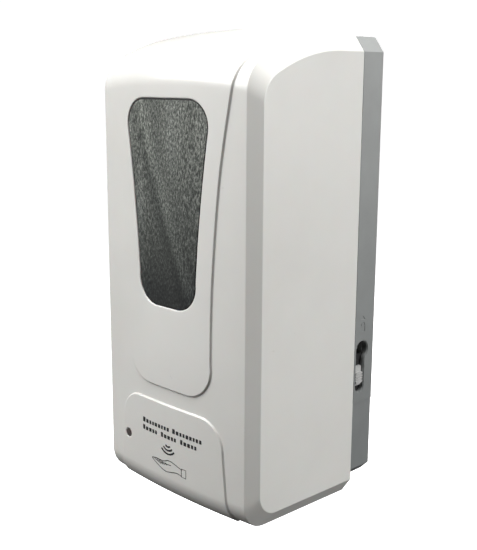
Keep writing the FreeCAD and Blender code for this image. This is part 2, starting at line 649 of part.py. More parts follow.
def build_rotor():
    discs = [rod((0, -73.4, PUMP_Z), (0, -72.0, PUMP_Z), 15.0),
             rod((0, -64.5, PUMP_Z), (0, -63.1, PUMP_Z), 15.0)]
    hub = rod((0, -73.4, PUMP_Z), (0, -63.1, PUMP_Z), 4.5)
    cuts = [rod((0, -80, PUMP_Z), (0, -50, PUMP_Z), SHAFT_R)]
    pins = []
    for index in range(ROLLER_COUNT):
        angle = 2.0 * math.pi * index / ROLLER_COUNT + math.pi / 2.0
        x = ROLLER_ORBIT_R * math.cos(angle)
        z = PUMP_Z + ROLLER_ORBIT_R * math.sin(angle)
        cuts.append(rod((x, -80, z), (x, -50, z), ROLLER_PIN_R))
        pins.append(rod((x, -73.4, z), (x, -63.1, z), ROLLER_PIN_R))
        roller = rod((x, -71.7, z), (x, -64.8, z), ROLLER_R)
        bore = rod((x, -80, z), (x, -50, z), ROLLER_PIN_R + RUNNING_FIT)
        save("roller_%d" % (index + 1), roller.cut(bore))
    save("pump_rotor", cut(fuse(discs + [hub]), cuts))
    save("roller_pins", Part.makeCompound(pins))
    save("rotor_shaft", rod((0, -75.8, PUMP_Z), (0, -52.6, PUMP_Z), SHAFT_R))


def gear_blank(teeth, centre_x, centre_z, y0, y1, tooth_angle):
    """Spur gear along Y, with one tooth centred at tooth_angle from +X towards +Z."""
    pitch_r = GEAR_MODULE * teeth / 2.0
    base_r = pitch_r * math.cos(PRESSURE_ANGLE)
    tip_r = pitch_r + 0.9 * GEAR_MODULE
    root_r = pitch_r - 1.2 * GEAR_MODULE
    involute = math.tan(PRESSURE_ANGLE) - PRESSURE_ANGLE
    half_tooth = math.pi / (2.0 * teeth) - BACKLASH / (4.0 * pitch_r)
    start_r = max(base_r, root_r)
    flank = [(root_r, half_tooth + involute + 0.15 / teeth)]
    steps = 4
    for step in range(steps + 1):
        radius = start_r + (tip_r - start_r) * step / steps
        lean = math.acos(min(1.0, base_r / radius))
        flank.append((radius, half_tooth + involute - (math.tan(lean) - lean)))
    points = []
    for index in range(teeth):
        middle = tooth_angle + 2.0 * math.pi * index / teeth
        around = [(r, -a) for r, a in flank] + [(r, a) for r, a in reversed(flank)]
        for radius, angle in around:
            x = centre_x + radius * math.cos(middle + angle)
            z = centre_z + radius * math.sin(middle + angle)
            points.append(vec(x, y0, z))
    points.append(points[0])
    return Part.Face(Part.makePolygon(points)).extrude(vec(0, y1 - y0, 0))


def lightened(gear, x, z, y0, y1, inner_r, outer_r):
    """Cuts a ring recess in the gear's front face, so that it has a rim, a web and a hub."""
    ring = rod((x, y0, z), (x, y1, z), outer_r).cut(rod((x, y0, z), (x, y1, z), inner_r))
    return gear.cut(ring)


def build_gears():
    to_compound = COMPOUND_ANGLE
    to_pinion = -COMPOUND_ANGLE
    small_gap = math.pi / PINION_TEETH
    output = gear_blank(WHEEL_TEETH, 0.0, PUMP_Z, -57.0, -53.2, to_compound)
    output = lightened(output, 0.0, PUMP_Z, -57.5, -56.0, 4.5, 11.5)
    save("output_gear", output.cut(rod((0, -60, PUMP_Z), (0, -50, PUMP_Z), SHAFT_R)))
    small = gear_blank(PINION_TEETH, COMPOUND_X, COMPOUND_Z, -57.2, -51.5,
                       to_compound + math.pi + small_gap)
    large = gear_blank(WHEEL_TEETH, COMPOUND_X, COMPOUND_Z, -51.5, -48.5, to_pinion)
    compound = small.fuse(large)
    compound = compound.cut(rod((COMPOUND_X, -60, COMPOUND_Z), (COMPOUND_X, -45, COMPOUND_Z),
                                1.5 + RUNNING_FIT))
    save("compound_gear", compound)
    save("gear_pin", rod((COMPOUND_X, -61.6, COMPOUND_Z), (COMPOUND_X, -44.5, COMPOUND_Z), 1.5))
    pinion = gear_blank(PINION_TEETH, MOTOR_X, PUMP_Z, -51.9, -48.0, to_pinion + math.pi + small_gap)
    save("motor_pinion", pinion.cut(rod((MOTOR_X, -60, PUMP_Z), (MOTOR_X, -40, PUMP_Z), 1.0)))
    save("motor_shaft", rod((MOTOR_X, -52.4, PUMP_Z), (MOTOR_X, -40.0, PUMP_Z), 1.0))


def build_drive():
    standoff_spots = [(-17.0, 62.0), (24.0, 71.0), (22.0, 24.0)]
    columns = [rod((x, -60.0, z), (x, -46.5, z), 2.5) for x, z in standoff_spots]
    plate = rounded_block(-20.0, 45.0, -46.5, -44.5, 21.0, 75.0, 3.0, vec(0, 1, 0))
    cuts = [rod((COMPOUND_X, -50, COMPOUND_Z), (COMPOUND_X, -40, COMPOUND_Z), 1.5),
            rod((MOTOR_X, -50, PUMP_Z), (MOTOR_X, -40, PUMP_Z), 3.5)]
    save("gear_plate", cut(fuse([plate] + columns), cuts))
    can = rod((MOTOR_X, -44.5, PUMP_Z), (MOTOR_X, -17.0, PUMP_Z), MOTOR_R)
    can = round_edges(can, 1.2, lambda edge: abs(edge.BoundBox.YLength) < 0.01)
    boss = rod((MOTOR_X, -46.3, PUMP_Z), (MOTOR_X, -44.0, PUMP_Z), 3.5)
    bore = rod((MOTOR_X, -47.0, PUMP_Z), (MOTOR_X, -39.5, PUMP_Z), 1.0 + RUNNING_FIT)
    save("motor", can.fuse(boss).cut(bore))
    save("motor_end_cap", rod((MOTOR_X, -17.0, PUMP_Z), (MOTOR_X, -14.6, PUMP_Z), 9.5))
    tags = [block(x - 1.2, x + 1.2, -14.6, -11.6, PUMP_Z - 0.3, PUMP_Z + 0.3)
            for x in (MOTOR_X - 6.0, MOTOR_X + 6.0)]
    save("motor_terminals", Part.makeCompound(tags))


# Batteries and electronics ------------------------------------------------------------------------

def build_batteries():
    tray = block(-BAY_X, BAY_X, -93.2, -76.3, BAY_Z0, 109.6)
    hollow = block(-BAY_X + 1.5, BAY_X - 1.5, -94.0, -77.8, BAY_Z0 + 1.5, 108.1)
    tray = tray.cut(hollow)
    dividers = [block(x - 0.15, x + 0.15, -82.0, -77.7, BAY_Z0 + 1.0, 108.5) for x in (-15.0, 0.0, 15.0)]
    save("battery_tray", tray.fuse(dividers))
    middle = 81.8
    cells, contacts = [], []
    for index in range(CELL_COUNT):
        x = (index - (CELL_COUNT - 1) / 2.0) * CELL_PITCH
        up = 1 if index % 2 == 0 else -1
        body = rod((x, CELL_Y, middle - 24.2), (x, CELL_Y, middle + 24.2), CELL_R)
        body = round_edges(body, 0.8, lambda edge: abs(edge.BoundBox.ZLength) < 0.01)
        nub = rod((x, CELL_Y, middle + up * 24.2), (x, CELL_Y, middle + up * 25.3), 2.7)
        cells.append(body.fuse(nub))
        tab_z = middle + up * 25.55
        contacts.append(block(x - 5.5, x + 5.5, CELL_Y - 5.5, CELL_Y + 5.5, tab_z - 0.25, tab_z + 0.25))
        start = middle - up * 25.9
        for turn in range(3):
            z = start + up * turn * 0.65
            ring = Part.makeTorus(4.2 - turn * 0.9, 0.32, vec(x, CELL_Y, z), vec(0, 0, 1))
            contacts.append(ring)
    save("battery_cells", Part.makeCompound(cells))
    save("battery_contacts", Part.makeCompound(contacts))
    plate = rounded_block(-33.0, 33.0, -98.8, -97.3, 53.0, 111.0, 3.0, vec(0, 1, 0))
    tongue = block(-29.4, 29.4, -97.3, -95.2, 66.6, 107.6)
    hooks = [block(29.4 * s - 1.6, 29.4 * s + 1.6, -94.7, -93.7, 73.0, 82.0) for s in (-1, 1)]
    hooks += [block(29.0 * s - 0.4, 29.0 * s + 0.4, -97.3, -93.7, 73.0, 82.0) for s in (-1, 1)]
    ridges = [block(-14.0, 14.0, -99.5, -98.7, z, z + 1.2) for z in (92.0, 95.0, 98.0, 101.0)]
    save("battery_door", fuse([plate, tongue] + hooks + ridges))


def build_board():
    board = block(-46.0, 46.0, BOARD_Y0, BOARD_Y1, 22.5, 50.0)
    holes = [rod((x, -95, z), (x, -85, z), 1.2) for x, z in BOARD_SCREWS]
    save("control_board", cut(board, holes))
    chips = [
        block(-6.0, 6.0, BOARD_Y1, -87.2, 30.0, 38.0),
        block(14.0, 20.0, BOARD_Y1, -87.4, 26.0, 31.0),
        rod((30.0, BOARD_Y1, 40.0), (30.0, -80.0, 40.0), 4.0),
        rod((-20.0, BOARD_Y1, 40.0), (-20.0, -81.0, 40.0), 3.2),
        block(-34.0, -24.0, BOARD_Y1, -84.0, 24.0, 30.0),
        block(24.0, 34.0, BOARD_Y1, -84.0, 24.0, 30.0),
    ]
    save("board_components", Part.makeCompound(chips))
    led = rod((LED_X, BOARD_Y0 - 3.6, LED_Z), (LED_X, BOARD_Y0, LED_Z), 2.4)
    tip = Part.makeSphere(2.4, vec(LED_X, BOARD_Y0 - 3.6, LED_Z))
    front = block(LED_X - 3, LED_X + 3, BOARD_Y0 - 7.0, BOARD_Y0 - 3.6, LED_Z - 3, LED_Z + 3)
    save("indicator_led", led.fuse(tip.common(front)))
    screws = [pan_head_screw((x, -86.6, z), (x, BOARD_Y0, z), 1.1, 2.1, 1.2)
              for x, z in BOARD_SCREWS]
    save("board_screws", Part.makeCompound(screws))


def build_slide_switch(name, x0, x1, knob_x):
    """Slide switch on the front of the board, with a knob that reaches through the lid."""
    body = block(x0, x1, -94.4, BOARD_Y0, 30.0, 39.0)
    groove = block(x0 + 1.0, x1 - 1.0, -95.0, -92.4, 32.4, 36.6)
    save(name + "_body", body.cut(groove))
    stem = block(knob_x - 1.6, knob_x + 1.6, -98.6, -92.8, 32.8, 36.2)
    grooves = [block(knob_x + dx - 0.25, knob_x + dx + 0.25, -99.0, -98.1, 32.0, 37.0) for dx in (-0.8, 0.8)]
    save(name + "_knob", cut(stem, grooves))


def wire_run(points, radius, bend):
    """Wire along straight runs whose corners are rounded by tangent arcs."""
    spots = [vec(*p) for p in points]
    edges = []
    here = spots[0]
    for index in range(1, len(spots) - 1):
        corner = spots[index]
        inward = (corner - spots[index - 1]).normalize()
        onward = (spots[index + 1] - corner).normalize()
        turn = inward.getAngle(onward)
        reach = bend * math.tan(turn / 2.0)
        start = corner - inward * reach
        end = corner + onward * reach
        centre_way = (onward - inward).normalize()
        middle = corner + centre_way * (bend / math.cos(turn / 2.0) - bend)
        edges.append(Part.LineSegment(here, start).toShape())
        edges.append(Part.Arc(start, middle, end).toShape())
        here = end
    edges.append(Part.LineSegment(here, spots[-1]).toShape())
    return swept_rod(Part.Wire(edges), radius)


def build_wires():
    motor_wires = []
    for index, side in enumerate((-1, 1)):
        x = MOTOR_X + side * 6.0
        lane = 42.5 + 2.0 * index
        route = [(x, -11.6, PUMP_Z), (x, -9.6, PUMP_Z), (x, -9.6, 72.0), (lane, -14.0, 80.0),
                 (lane, -60.0, 80.0), (lane - 3.0, -80.0, 52.0), (lane - 5.0, -85.0, 43.0),
                 (lane - 5.0, BOARD_Y1, 43.0)]
        motor_wires.append(wire_run(route, 0.7, 1.5))
    save("motor_wires", Part.makeCompound(motor_wires))
    battery_wires = [wire_run([(x, -80.0, BAY_Z0), (x, -80.0, 50.0), (x, -84.5, 47.0), (x, BOARD_Y1, 47.0)],
                              0.7, 1.5) for x in (-10.0, -7.0)]
    save("battery_wires", Part.makeCompound(battery_wires))
    sensor_wires = [wire_run([(x, -80.0, 8.8), (x, -80.0, 20.0), (x, -84.0, 26.0), (x, BOARD_Y1, 26.0)],
                             0.5, 1.5) for x in (-4.0, -1.0, 2.0, 5.0)]
    save("sensor_wires", Part.makeCompound(sensor_wires))


# Soap tank ----------------------------------------------------------------------------------------

def build_tank():
    def shell(inset, top):
        solid = block(-TANK_X + inset, TANK_X - inset, TANK_Y0 + inset, TANK_Y1 - inset,
                      CASE_Z1 + inset, top - inset)
        solid = round_edges(solid, TANK_EDGE_R - inset, lambda edge: along(edge, vec(0, 0, 1)))
        top_z = solid.BoundBox.ZMax
        return round_edges(solid, 5.0 - inset, lambda edge: edge.BoundBox.ZMin > top_z - 0.01)

    outside = shell(0.0, TANK_TOP)
    neck = rod((0, NECK_Y, TANK_TOP - 2.0), (0, NECK_Y, TANK_TOP + 12.0), NECK_R)
    mouth = rod((0, NECK_Y, TANK_TOP - 4.0), (0, NECK_Y, TANK_TOP + 13.0), NECK_R - 1.8)
    drain = rod((0, PUMP_Y, CASE_Z1 - 1.0), (0, PUMP_Y, CASE_Z1 + 3.0), 6.0)
    bead = Part.makeTorus(NECK_R - 0.2, 0.45, vec(0, NECK_Y, TANK_TOP + 8.0), vec(0, 0, 1))
    solid = outside.fuse([neck]).cut(shell(TANK_WALL, TANK_TOP)).cut(mouth).cut(drain)
    save("soap_tank", solid.fuse(bead).cut(mouth))
    cap = rod((0, NECK_Y, TANK_TOP + 2.0), (0, NECK_Y, TANK_TOP + 15.0), CAP_R)
    cap = round_edges(cap, 1.2, lambda edge: edge.BoundBox.ZMin > TANK_TOP + 14.9)
    cup = rod((0, NECK_Y, TANK_TOP + 1.0), (0, NECK_Y, TANK_TOP + 13.5), NECK_R + 0.6)
    flutes = []
    flute_count = 36
    for index in range(flute_count):
        angle = 2.0 * math.pi * index / flute_count
        x = (CAP_R + 0.5) * math.cos(angle)
        y = NECK_Y + (CAP_R + 0.5) * math.sin(angle)
        flutes.append(rod((x, y, TANK_TOP + 1.0), (x, y, TANK_TOP + 12.5), 1.1))
    save("tank_cap", cap.cut(cup).cut(Part.makeCompound(flutes)))
    gasket = rod((0, NECK_Y, TANK_TOP + 12.3), (0, NECK_Y, TANK_TOP + 13.5), NECK_R + 0.5)
    save("cap_gasket", gasket.cut(rod((0, NECK_Y, TANK_TOP), (0, NECK_Y, TANK_TOP + 20.0), NECK_R - 3.0)))
    flange = rod((0, PUMP_Y, 108.4), (0, PUMP_Y, 110.4), 7.6)
    stem = rod((0, PUMP_Y, 110.4), (0, PUMP_Y, CASE_Z1 + 4.5), 6.0)
    nipple = rod((0, PUMP_Y, 98.0), (0, PUMP_Y, 108.4), TUBE_BORE_R)
    bore = rod((0, PUMP_Y, 97.0), (0, PUMP_Y, CASE_Z1 + 6.0), 0.8)
    save("outlet_spigot", fuse([flange, stem, nipple]).cut(bore))
    seal = rod((0, PUMP_Y, 110.4), (0, PUMP_Y, CASE_Z1), 7.4)
    save("outlet_seal", seal.cut(rod((0, PUMP_Y, 109.0), (0, PUMP_Y, 114.0), 6.0)))


def main():
    os.makedirs("parts", exist_ok=True)
    cover = build_cover()
    save("front_cover", cover)
    save("hinge_ear_left", hinge_ear(-1).cut(cover))
    save("hinge_ear_right", hinge_ear(1).cut(cover))
    save("cover_catch", cover_catch().cut(cover))
    save("window_lens", build_window())
    save("indicator_light_pipe", build_light_pipe())
    save("rear_housing", build_housing())
    build_hinge_pins()
    build_latch()
    build_case()
    build_lid()
    build_screws()
    build_nozzle_plate()
    build_sensor()
    build_pump()
    build_rotor()
    build_gears()
    build_drive()
    build_batteries()
    build_board()
    build_slide_switch("power_switch", 11.0, 23.0, 14.4)
    build_slide_switch("dose_selector", -15.0, 0.0, -11.6)
    build_wires()
    build_tank()


main()
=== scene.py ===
"""Studio picture of a wall mounted soap dispenser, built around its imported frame."""
import json
import math

import bpy
import numpy as np
from mathutils import Matrix, Vector
from mathutils.geometry import delaunay_2d_cdt


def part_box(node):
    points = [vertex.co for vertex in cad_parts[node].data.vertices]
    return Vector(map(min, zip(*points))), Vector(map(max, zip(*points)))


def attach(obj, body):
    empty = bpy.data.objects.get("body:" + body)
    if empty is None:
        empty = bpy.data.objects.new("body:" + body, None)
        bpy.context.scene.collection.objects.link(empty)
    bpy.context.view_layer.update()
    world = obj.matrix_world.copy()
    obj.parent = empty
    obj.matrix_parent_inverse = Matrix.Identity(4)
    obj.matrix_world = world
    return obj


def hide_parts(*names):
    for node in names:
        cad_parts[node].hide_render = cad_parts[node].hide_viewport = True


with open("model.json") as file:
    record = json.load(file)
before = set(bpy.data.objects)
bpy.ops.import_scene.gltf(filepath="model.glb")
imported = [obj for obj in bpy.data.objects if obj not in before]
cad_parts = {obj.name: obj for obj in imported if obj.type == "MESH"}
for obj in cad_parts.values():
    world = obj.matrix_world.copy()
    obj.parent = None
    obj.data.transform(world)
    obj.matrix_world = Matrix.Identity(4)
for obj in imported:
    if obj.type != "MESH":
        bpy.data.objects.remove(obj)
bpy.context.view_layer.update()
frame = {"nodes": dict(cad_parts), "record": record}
RECORD = frame["record"]
NODES = frame["nodes"]
SLOT_COLOUR = {entry["slot"]: entry["base_color"][:3] for entry in RECORD["materials"]}
NODE_SLOT = {entry["node"]: entry["material_slot"] for entry in RECORD["subparts"]}
MM = 0.001
QUARTER_TURN = math.pi / 2.0

# The cover's shape, in millimetres: x from its middle, y from the wall, z from the underside of its front.
# ORIGIN_Z is the height of the frame's origin on that scale.
ORIGIN_Z = 182.0
HEIGHT = 270.0
HALF_WIDTH = 65.0
DEPTH = 106.4
BEVEL = 6.2
CROWN = 3.5
BULGE = 3.4
BACK_Y = -17.7
WALL = 2.6
CORNER_R = 20.0
SWEEP_R = 118.0
SWEEP_ANGLE = math.radians(27.0)
BOTTOM_R = 16.0
BOTTOM_SLOPE = math.radians(1.3)
FLOOR_Z = -2.8
SIDE_TOP_DROP = 2.3
SIDE_FLOOR_LIFT = 2.8
SIDE_SOFTEN = 3.5
BEVEL_SHRINK = 2.0 - math.sqrt(2.0)
SHIELD_RISE = 1.0
SHIELD_TOP_X = 54.6
SHIELD_TOP_Z = 262.0
PANEL_RISE = 0.9
LED_X = -38.9
LED_Z = 29.6
LED_R = 2.5


# Mesh helpers -------------------------------------------------------------------------------------

SHARP_ANGLE = math.radians(35.0)


def make_object(name, points, faces, smooth=True):
    """Mesh object from points in millimetres, measured from the wall and the cover's underside."""
    mesh = bpy.data.meshes.new(name)
    moved = [(x * MM, y * MM, (z - ORIGIN_Z) * MM) for x, y, z in points]
    mesh.from_pydata(moved, [], faces)
    mesh.validate()
    mesh.update()
    if smooth:
        mesh.shade_smooth()
    made = bpy.data.objects.new(name, mesh)
    bpy.context.scene.collection.objects.link(made)
    return made


def apply_modifiers(made):
    """Replaces the mesh by what its modifiers make of it."""
    depsgraph = bpy.context.evaluated_depsgraph_get()
    mesh = bpy.data.meshes.new_from_object(made.evaluated_get(depsgraph))
    made.modifiers.clear()
    made.data = mesh


def weight_normals(made):
    """Smooth shading that follows the larger faces and breaks at sharp edges."""
    made.data.set_sharp_from_angle(angle=SHARP_ANGLE)
    weighted = made.modifiers.new("normals", "WEIGHTED_NORMAL")
    weighted.keep_sharp = True
    weighted.weight = 100
    apply_modifiers(made)


# The cover's surface ------------------------------------------------------------------------------

class Profile:
    """Side profile of the cover at any x: a point and a normal for each station along it."""

    def __init__(self, inset, at_side=False):
        bevel = BEVEL - inset * BEVEL_SHRINK
        self.side_x = HALF_WIDTH - inset
        self.edge_x = self.side_x - bevel
        self.inset = inset + bevel if at_side else inset
        soften = SIDE_SOFTEN if at_side else 0.0
        self.corner = CORNER_R - self.inset + soften
        self.sweep = SWEEP_R - self.inset
        self.bottom = BOTTOM_R - self.inset + soften
        self.top_z = HEIGHT - (SIDE_TOP_DROP if at_side else 0.0)
        self.floor_z = FLOOR_Z + (SIDE_FLOOR_LIFT if at_side else 0.0)

    def key_points(self, x):
        """Front, top, and the places where the profile's straight stretches and arcs meet, at x."""
        share = (np.minimum(np.abs(x), self.edge_x) / (HALF_WIDTH - BEVEL)) ** 2
        front = BULGE * share - DEPTH + self.inset
        top = self.top_z - CROWN * share - self.inset
        lean, rise = math.sin(SWEEP_ANGLE), math.cos(SWEEP_ANGLE)
        join_y = front + self.corner * (1.0 - lean)
        join_z = top - self.sweep * (1.0 - rise)
        flat_y = join_y + self.sweep * lean
        corner_z = join_z - self.corner * rise
        bottom_y = front + self.bottom
        bottom_z = self.floor_z + self.inset + self.bottom
        touch_y = bottom_y - self.bottom * math.sin(BOTTOM_SLOPE)
        touch_z = bottom_z - self.bottom * math.cos(BOTTOM_SLOPE)
        return front, top, flat_y, corner_z, bottom_y, bottom_z, touch_y, touch_z

    def lengths(self):
        """Lengths of the six stretches at the middle, from the back of the underside to the seam on top."""
        _, _, flat_y, corner_z, _, bottom_z, touch_y, _ = self.key_points(0.0)
        return [
            (BACK_Y - touch_y) / math.cos(BOTTOM_SLOPE),
            self.bottom * (QUARTER_TURN - BOTTOM_SLOPE),
            corner_z - bottom_z,
            self.corner * (QUARTER_TURN - SWEEP_ANGLE),
            self.sweep * SWEEP_ANGLE,
            BACK_Y - flat_y,
        ]


OUTER = Profile(0.0)
INNER = Profile(WALL)
OUTER_SIDE = Profile(0.0, at_side=True)
INNER_SIDE = Profile(WALL, at_side=True)

# Where the stretches of the outer profile meet: back of the underside, start and end of the bottom arc,
# start of the top corner, start of the sweep, start of the flat top, and the seam
STATIONS = np.concatenate([[0.0], np.cumsum(OUTER.lengths())])
LENGTH = STATIONS[-1]


def surface(profile, x, s):
    """Points (y, z) and normals (ny, nz) of the profile at x and station s, as arrays."""
    x, s = np.broadcast_arrays(np.asarray(x, float), np.asarray(s, float))
    front, top, flat_y, corner_z, bottom_y, bottom_z, touch_y, touch_z = profile.key_points(x)
    y, z, ny, nz = (np.zeros(x.shape) for _ in range(4))
    stretch = [(s - a) / (b - a) for a, b in zip(STATIONS, STATIONS[1:])]

    part = s <= STATIONS[1]
    back_z = touch_z - math.tan(BOTTOM_SLOPE) * (BACK_Y - touch_y)
    y = np.where(part, BACK_Y + (touch_y - BACK_Y) * stretch[0], y)
    z = np.where(part, back_z + (touch_z - back_z) * stretch[0], z)
    ny = np.where(part, -math.sin(BOTTOM_SLOPE), ny)
    nz = np.where(part, -math.cos(BOTTOM_SLOPE), nz)

    def arc(index, centre_y, centre_z, radius, start, end):
        """Fills one stretch with an arc, whose angles go from the front, 0, to the top, a quarter turn."""
        nonlocal y, z, ny, nz
        part = (s > STATIONS[index]) & (s <= STATIONS[index + 1])
        angle = start + (end - start) * stretch[index]
        dy, dz = -np.cos(angle), np.sin(angle)
        y, z = np.where(part, centre_y + radius * dy, y), np.where(part, centre_z + radius * dz, z)
        ny, nz = np.where(part, dy, ny), np.where(part, dz, nz)

    arc(1, bottom_y, bottom_z, profile.bottom, BOTTOM_SLOPE - QUARTER_TURN, 0.0)
    part = (s > STATIONS[2]) & (s <= STATIONS[3])
    y = np.where(part, front, y)
    z = np.where(part, bottom_z + (corner_z - bottom_z) * stretch[2], z)
    ny, nz = np.where(part, -1.0, ny), np.where(part, 0.0, nz)
    arc(3, front + profile.corner, corner_z, profile.corner, 0.0, QUARTER_TURN - SWEEP_ANGLE)
    arc(4, flat_y, top - profile.sweep, profile.sweep, QUARTER_TURN - SWEEP_ANGLE, QUARTER_TURN)
    part = s > STATIONS[5]
    y = np.where(part, flat_y + (BACK_Y - flat_y) * stretch[5], y)
    z = np.where(part, top, z)
    ny, nz = np.where(part, 0.0, ny), np.where(part, 1.0, nz)
    return y, z, ny, nz


# Stations at which heights are looked up
HEIGHT_STATIONS = np.linspace(STATIONS[1], STATIONS[5], 2000)


def station_at(x, z):
    """Station of the surface point with that x and height, on the front and the upper sweep."""
    heights = surface(OUTER, np.full(HEIGHT_STATIONS.shape, x), HEIGHT_STATIONS)[1]
    return float(np.interp(z, heights, HEIGHT_STATIONS))


# Outlines in the unrolled surface: x across, station along ------------------------------------------

def arc_points(start, middle, end, count):
    """Points on the circle through three points, from start to end."""
    (ax, ay), (bx, by), (cx, cy) = start, middle, end
    d = 2.0 * (ax * (by - cy) + bx * (cy - ay) + cx * (ay - by))
    ux = ((ax**2 + ay**2) * (by - cy) + (bx**2 + by**2) * (cy - ay) + (cx**2 + cy**2) * (ay - by)) / d
    uy = ((ax**2 + ay**2) * (cx - bx) + (bx**2 + by**2) * (ax - cx) + (cx**2 + cy**2) * (bx - ax)) / d
    radius = math.hypot(ax - ux, ay - uy)
    angles = np.unwrap([math.atan2(py - uy, px - ux) for px, py in (start, middle, end)])
    steps = np.linspace(angles[0], angles[2], count)
    return [(ux + radius * math.cos(a), uy + radius * math.sin(a)) for a in steps]


def smooth_curve(points, count):
    """Catmull-Rom curve through the points."""
    padded = [points[0]] + list(points) + [points[-1]]
    made = []
    for i in range(len(points) - 1):
        p0, p1, p2, p3 = (np.array(p) for p in padded[i:i + 4])
        for t in np.linspace(0.0, 1.0, count, endpoint=False):
            made.append(tuple(0.5 * (2 * p1 + (p2 - p0) * t + (2 * p0 - 5 * p1 + 4 * p2 - p3) * t**2
                                     + (3 * p1 - p0 - 3 * p2 + p3) * t**3)))
    return made + [tuple(points[-1])]


def resample(points, spacing):
    """Points at an even spacing along a polyline."""
    p = np.array(points)
    steps = np.concatenate([[0.0], np.cumsum(np.hypot(*np.diff(p, axis=0).T))])
    count = max(2, int(round(steps[-1] / spacing)) + 1)
    at = np.linspace(0.0, steps[-1], count)
    return np.stack([np.interp(at, steps, p[:, 0]), np.interp(at, steps, p[:, 1])], 1)


def unrolled(points):
    """Points (x, z) of the front view, moved to the unrolled surface."""
    return np.array([(x, station_at(x, z)) for x, z in points])


def window_half():
    """Right half of the window's outline, from the top middle to the bottom middle, as (x, z)."""
    points = [(0.0, 232.3), (19.0, 232.3)]
    points += arc_points((19.0, 232.3), (30.0, 227.3), (33.3, 215.5), 14)[1:]
    points += arc_points((33.3, 215.5), (27.5, 174.0), (23.8, 133.0), 24)[1:]
    points += arc_points((23.8, 133.0), (20.0, 121.0), (9.6, 116.0), 14)[1:]
    return points + [(0.0, 116.0)]


def shield_half():
    """Right half of the shield's outline, from the side of the top down to the bottom middle."""
    side = smooth_curve([(SHIELD_TOP_X, SHIELD_TOP_Z), (48.8, 234.0), (41.2, 190.0), (36.2, 135.0),
                         (34.9, 90.0)], 14)
    corner = arc_points((34.9, 90.0), (30.2, 73.6), (17.5, 67.5), 16)[1:]
    return side + corner + [(0.0, 67.5)]


def panel_half():
    """Right half of the lower panel's outline, from its top middle down its side."""
    corner = arc_points((27.0, 57.5), (37.8, 53.4), (43.8, 39.5), 18)
    return [(0.0, 57.5)] + corner + [(46.4, 13.0)]


def mirror_closed(half):
    """Closed loop from a right half that starts and ends at x = 0."""
    right = resample(half, LINE_SPACING)
    left = right[1:-1][::-1] * [-1.0, 1.0]
    return np.concatenate([right, left])


def mirror_open(half):
    """Open line whose middle is the half's last point at x = 0."""
    right = resample(half, LINE_SPACING)
    left = right[:-1][::-1] * [-1.0, 1.0]
    return np.concatenate([right, left])


def offset_line(points, distance, closed):
    """Moves each point to the left of the line's direction by distance."""
    if closed:
        ahead, behind = np.roll(points, -1, 0), np.roll(points, 1, 0)
    else:
        ahead = np.concatenate([points[1:], points[-1:]])
        behind = np.concatenate([points[:1], points[:-1]])
    along = ahead - behind
    along /= np.linalg.norm(along, axis=1)[:, None]
    return points + distance * np.stack([-along[:, 1], along[:, 0]], 1)


def inside(points, loop):
    """Which points lie in a closed loop."""
    x, y = points[:, 0][:, None], points[:, 1][:, None]
    x0, y0 = loop[:, 0], loop[:, 1]
    x1, y1 = np.roll(x0, -1), np.roll(y0, -1)
    crosses = ((y0 > y) != (y1 > y)) & (x < (x1 - x0) * (y - y0) / (y1 - y0 + 1e-30) + x0)
    return crosses.sum(1) % 2 == 1


def distance_to(points, line, closed):
    """Distance from each point to a polyline."""
    a = line if closed else line[:-1]
    b = np.roll(line, -1, 0) if closed else line[1:]
    best = np.full(len(points), 1e9)
    for start, end in zip(a, b):
        d = end - start
        t = np.clip(((points - start) @ d) / max(d @ d, 1e-12), 0.0, 1.0)
        best = np.minimum(best, np.hypot(*(points - start - t[:, None] * d).T))
    return best


def smoothstep(t):
    """Smooth rise from 0 to 1 as t goes from 0 to 1."""
    t = np.clip(t, 0.0, 1.0)
    return t * t * (3.0 - 2.0 * t)


# The cover ----------------------------------------------------------------------------------------

STEP_HALF = 0.6
GROOVE_WIDTH = 0.6
GROOVE_DEPTH = 0.7
TOP_GROOVE_DEPTH = 1.5
STEP_OFFSETS = (-STEP_HALF - GROOVE_WIDTH, -STEP_HALF - 0.5 * GROOVE_WIDTH,
                -0.6, -0.4, -0.2, 0.0, 0.2, 0.4, 0.6)
RIM_R = 0.8
RIM_OFFSETS = (0.0, 0.1, 0.26, 0.48, 0.8)
LED_RIM_R = 0.9
EDGE_ROUND = 0.35
EDGE_STEPS = 4
LINE_SPACING = 1.6
FLAT_ROW_SPACING = 4.0
ARC_ROW_SPACING = 1.7
ARC_STRETCHES = (1, 3, 4)
COLUMN_COUNT = 37

# Clear space between the mesh's own grid points and each outline
GRID_MARGINS = (("shield", False, 1.7), ("panel", True, 1.7), ("window", True, 1.5), ("led", True, 1.6),
                ("floor", True, 0.8))

# Hole in the underside for the nozzle plate: half width, front, back and corner radius
FLOOR_HOLE_X = 30.0
FLOOR_HOLE_FRONT_Y = -88.0
FLOOR_HOLE_BACK_Y = -40.0
FLOOR_HOLE_R = 5.0


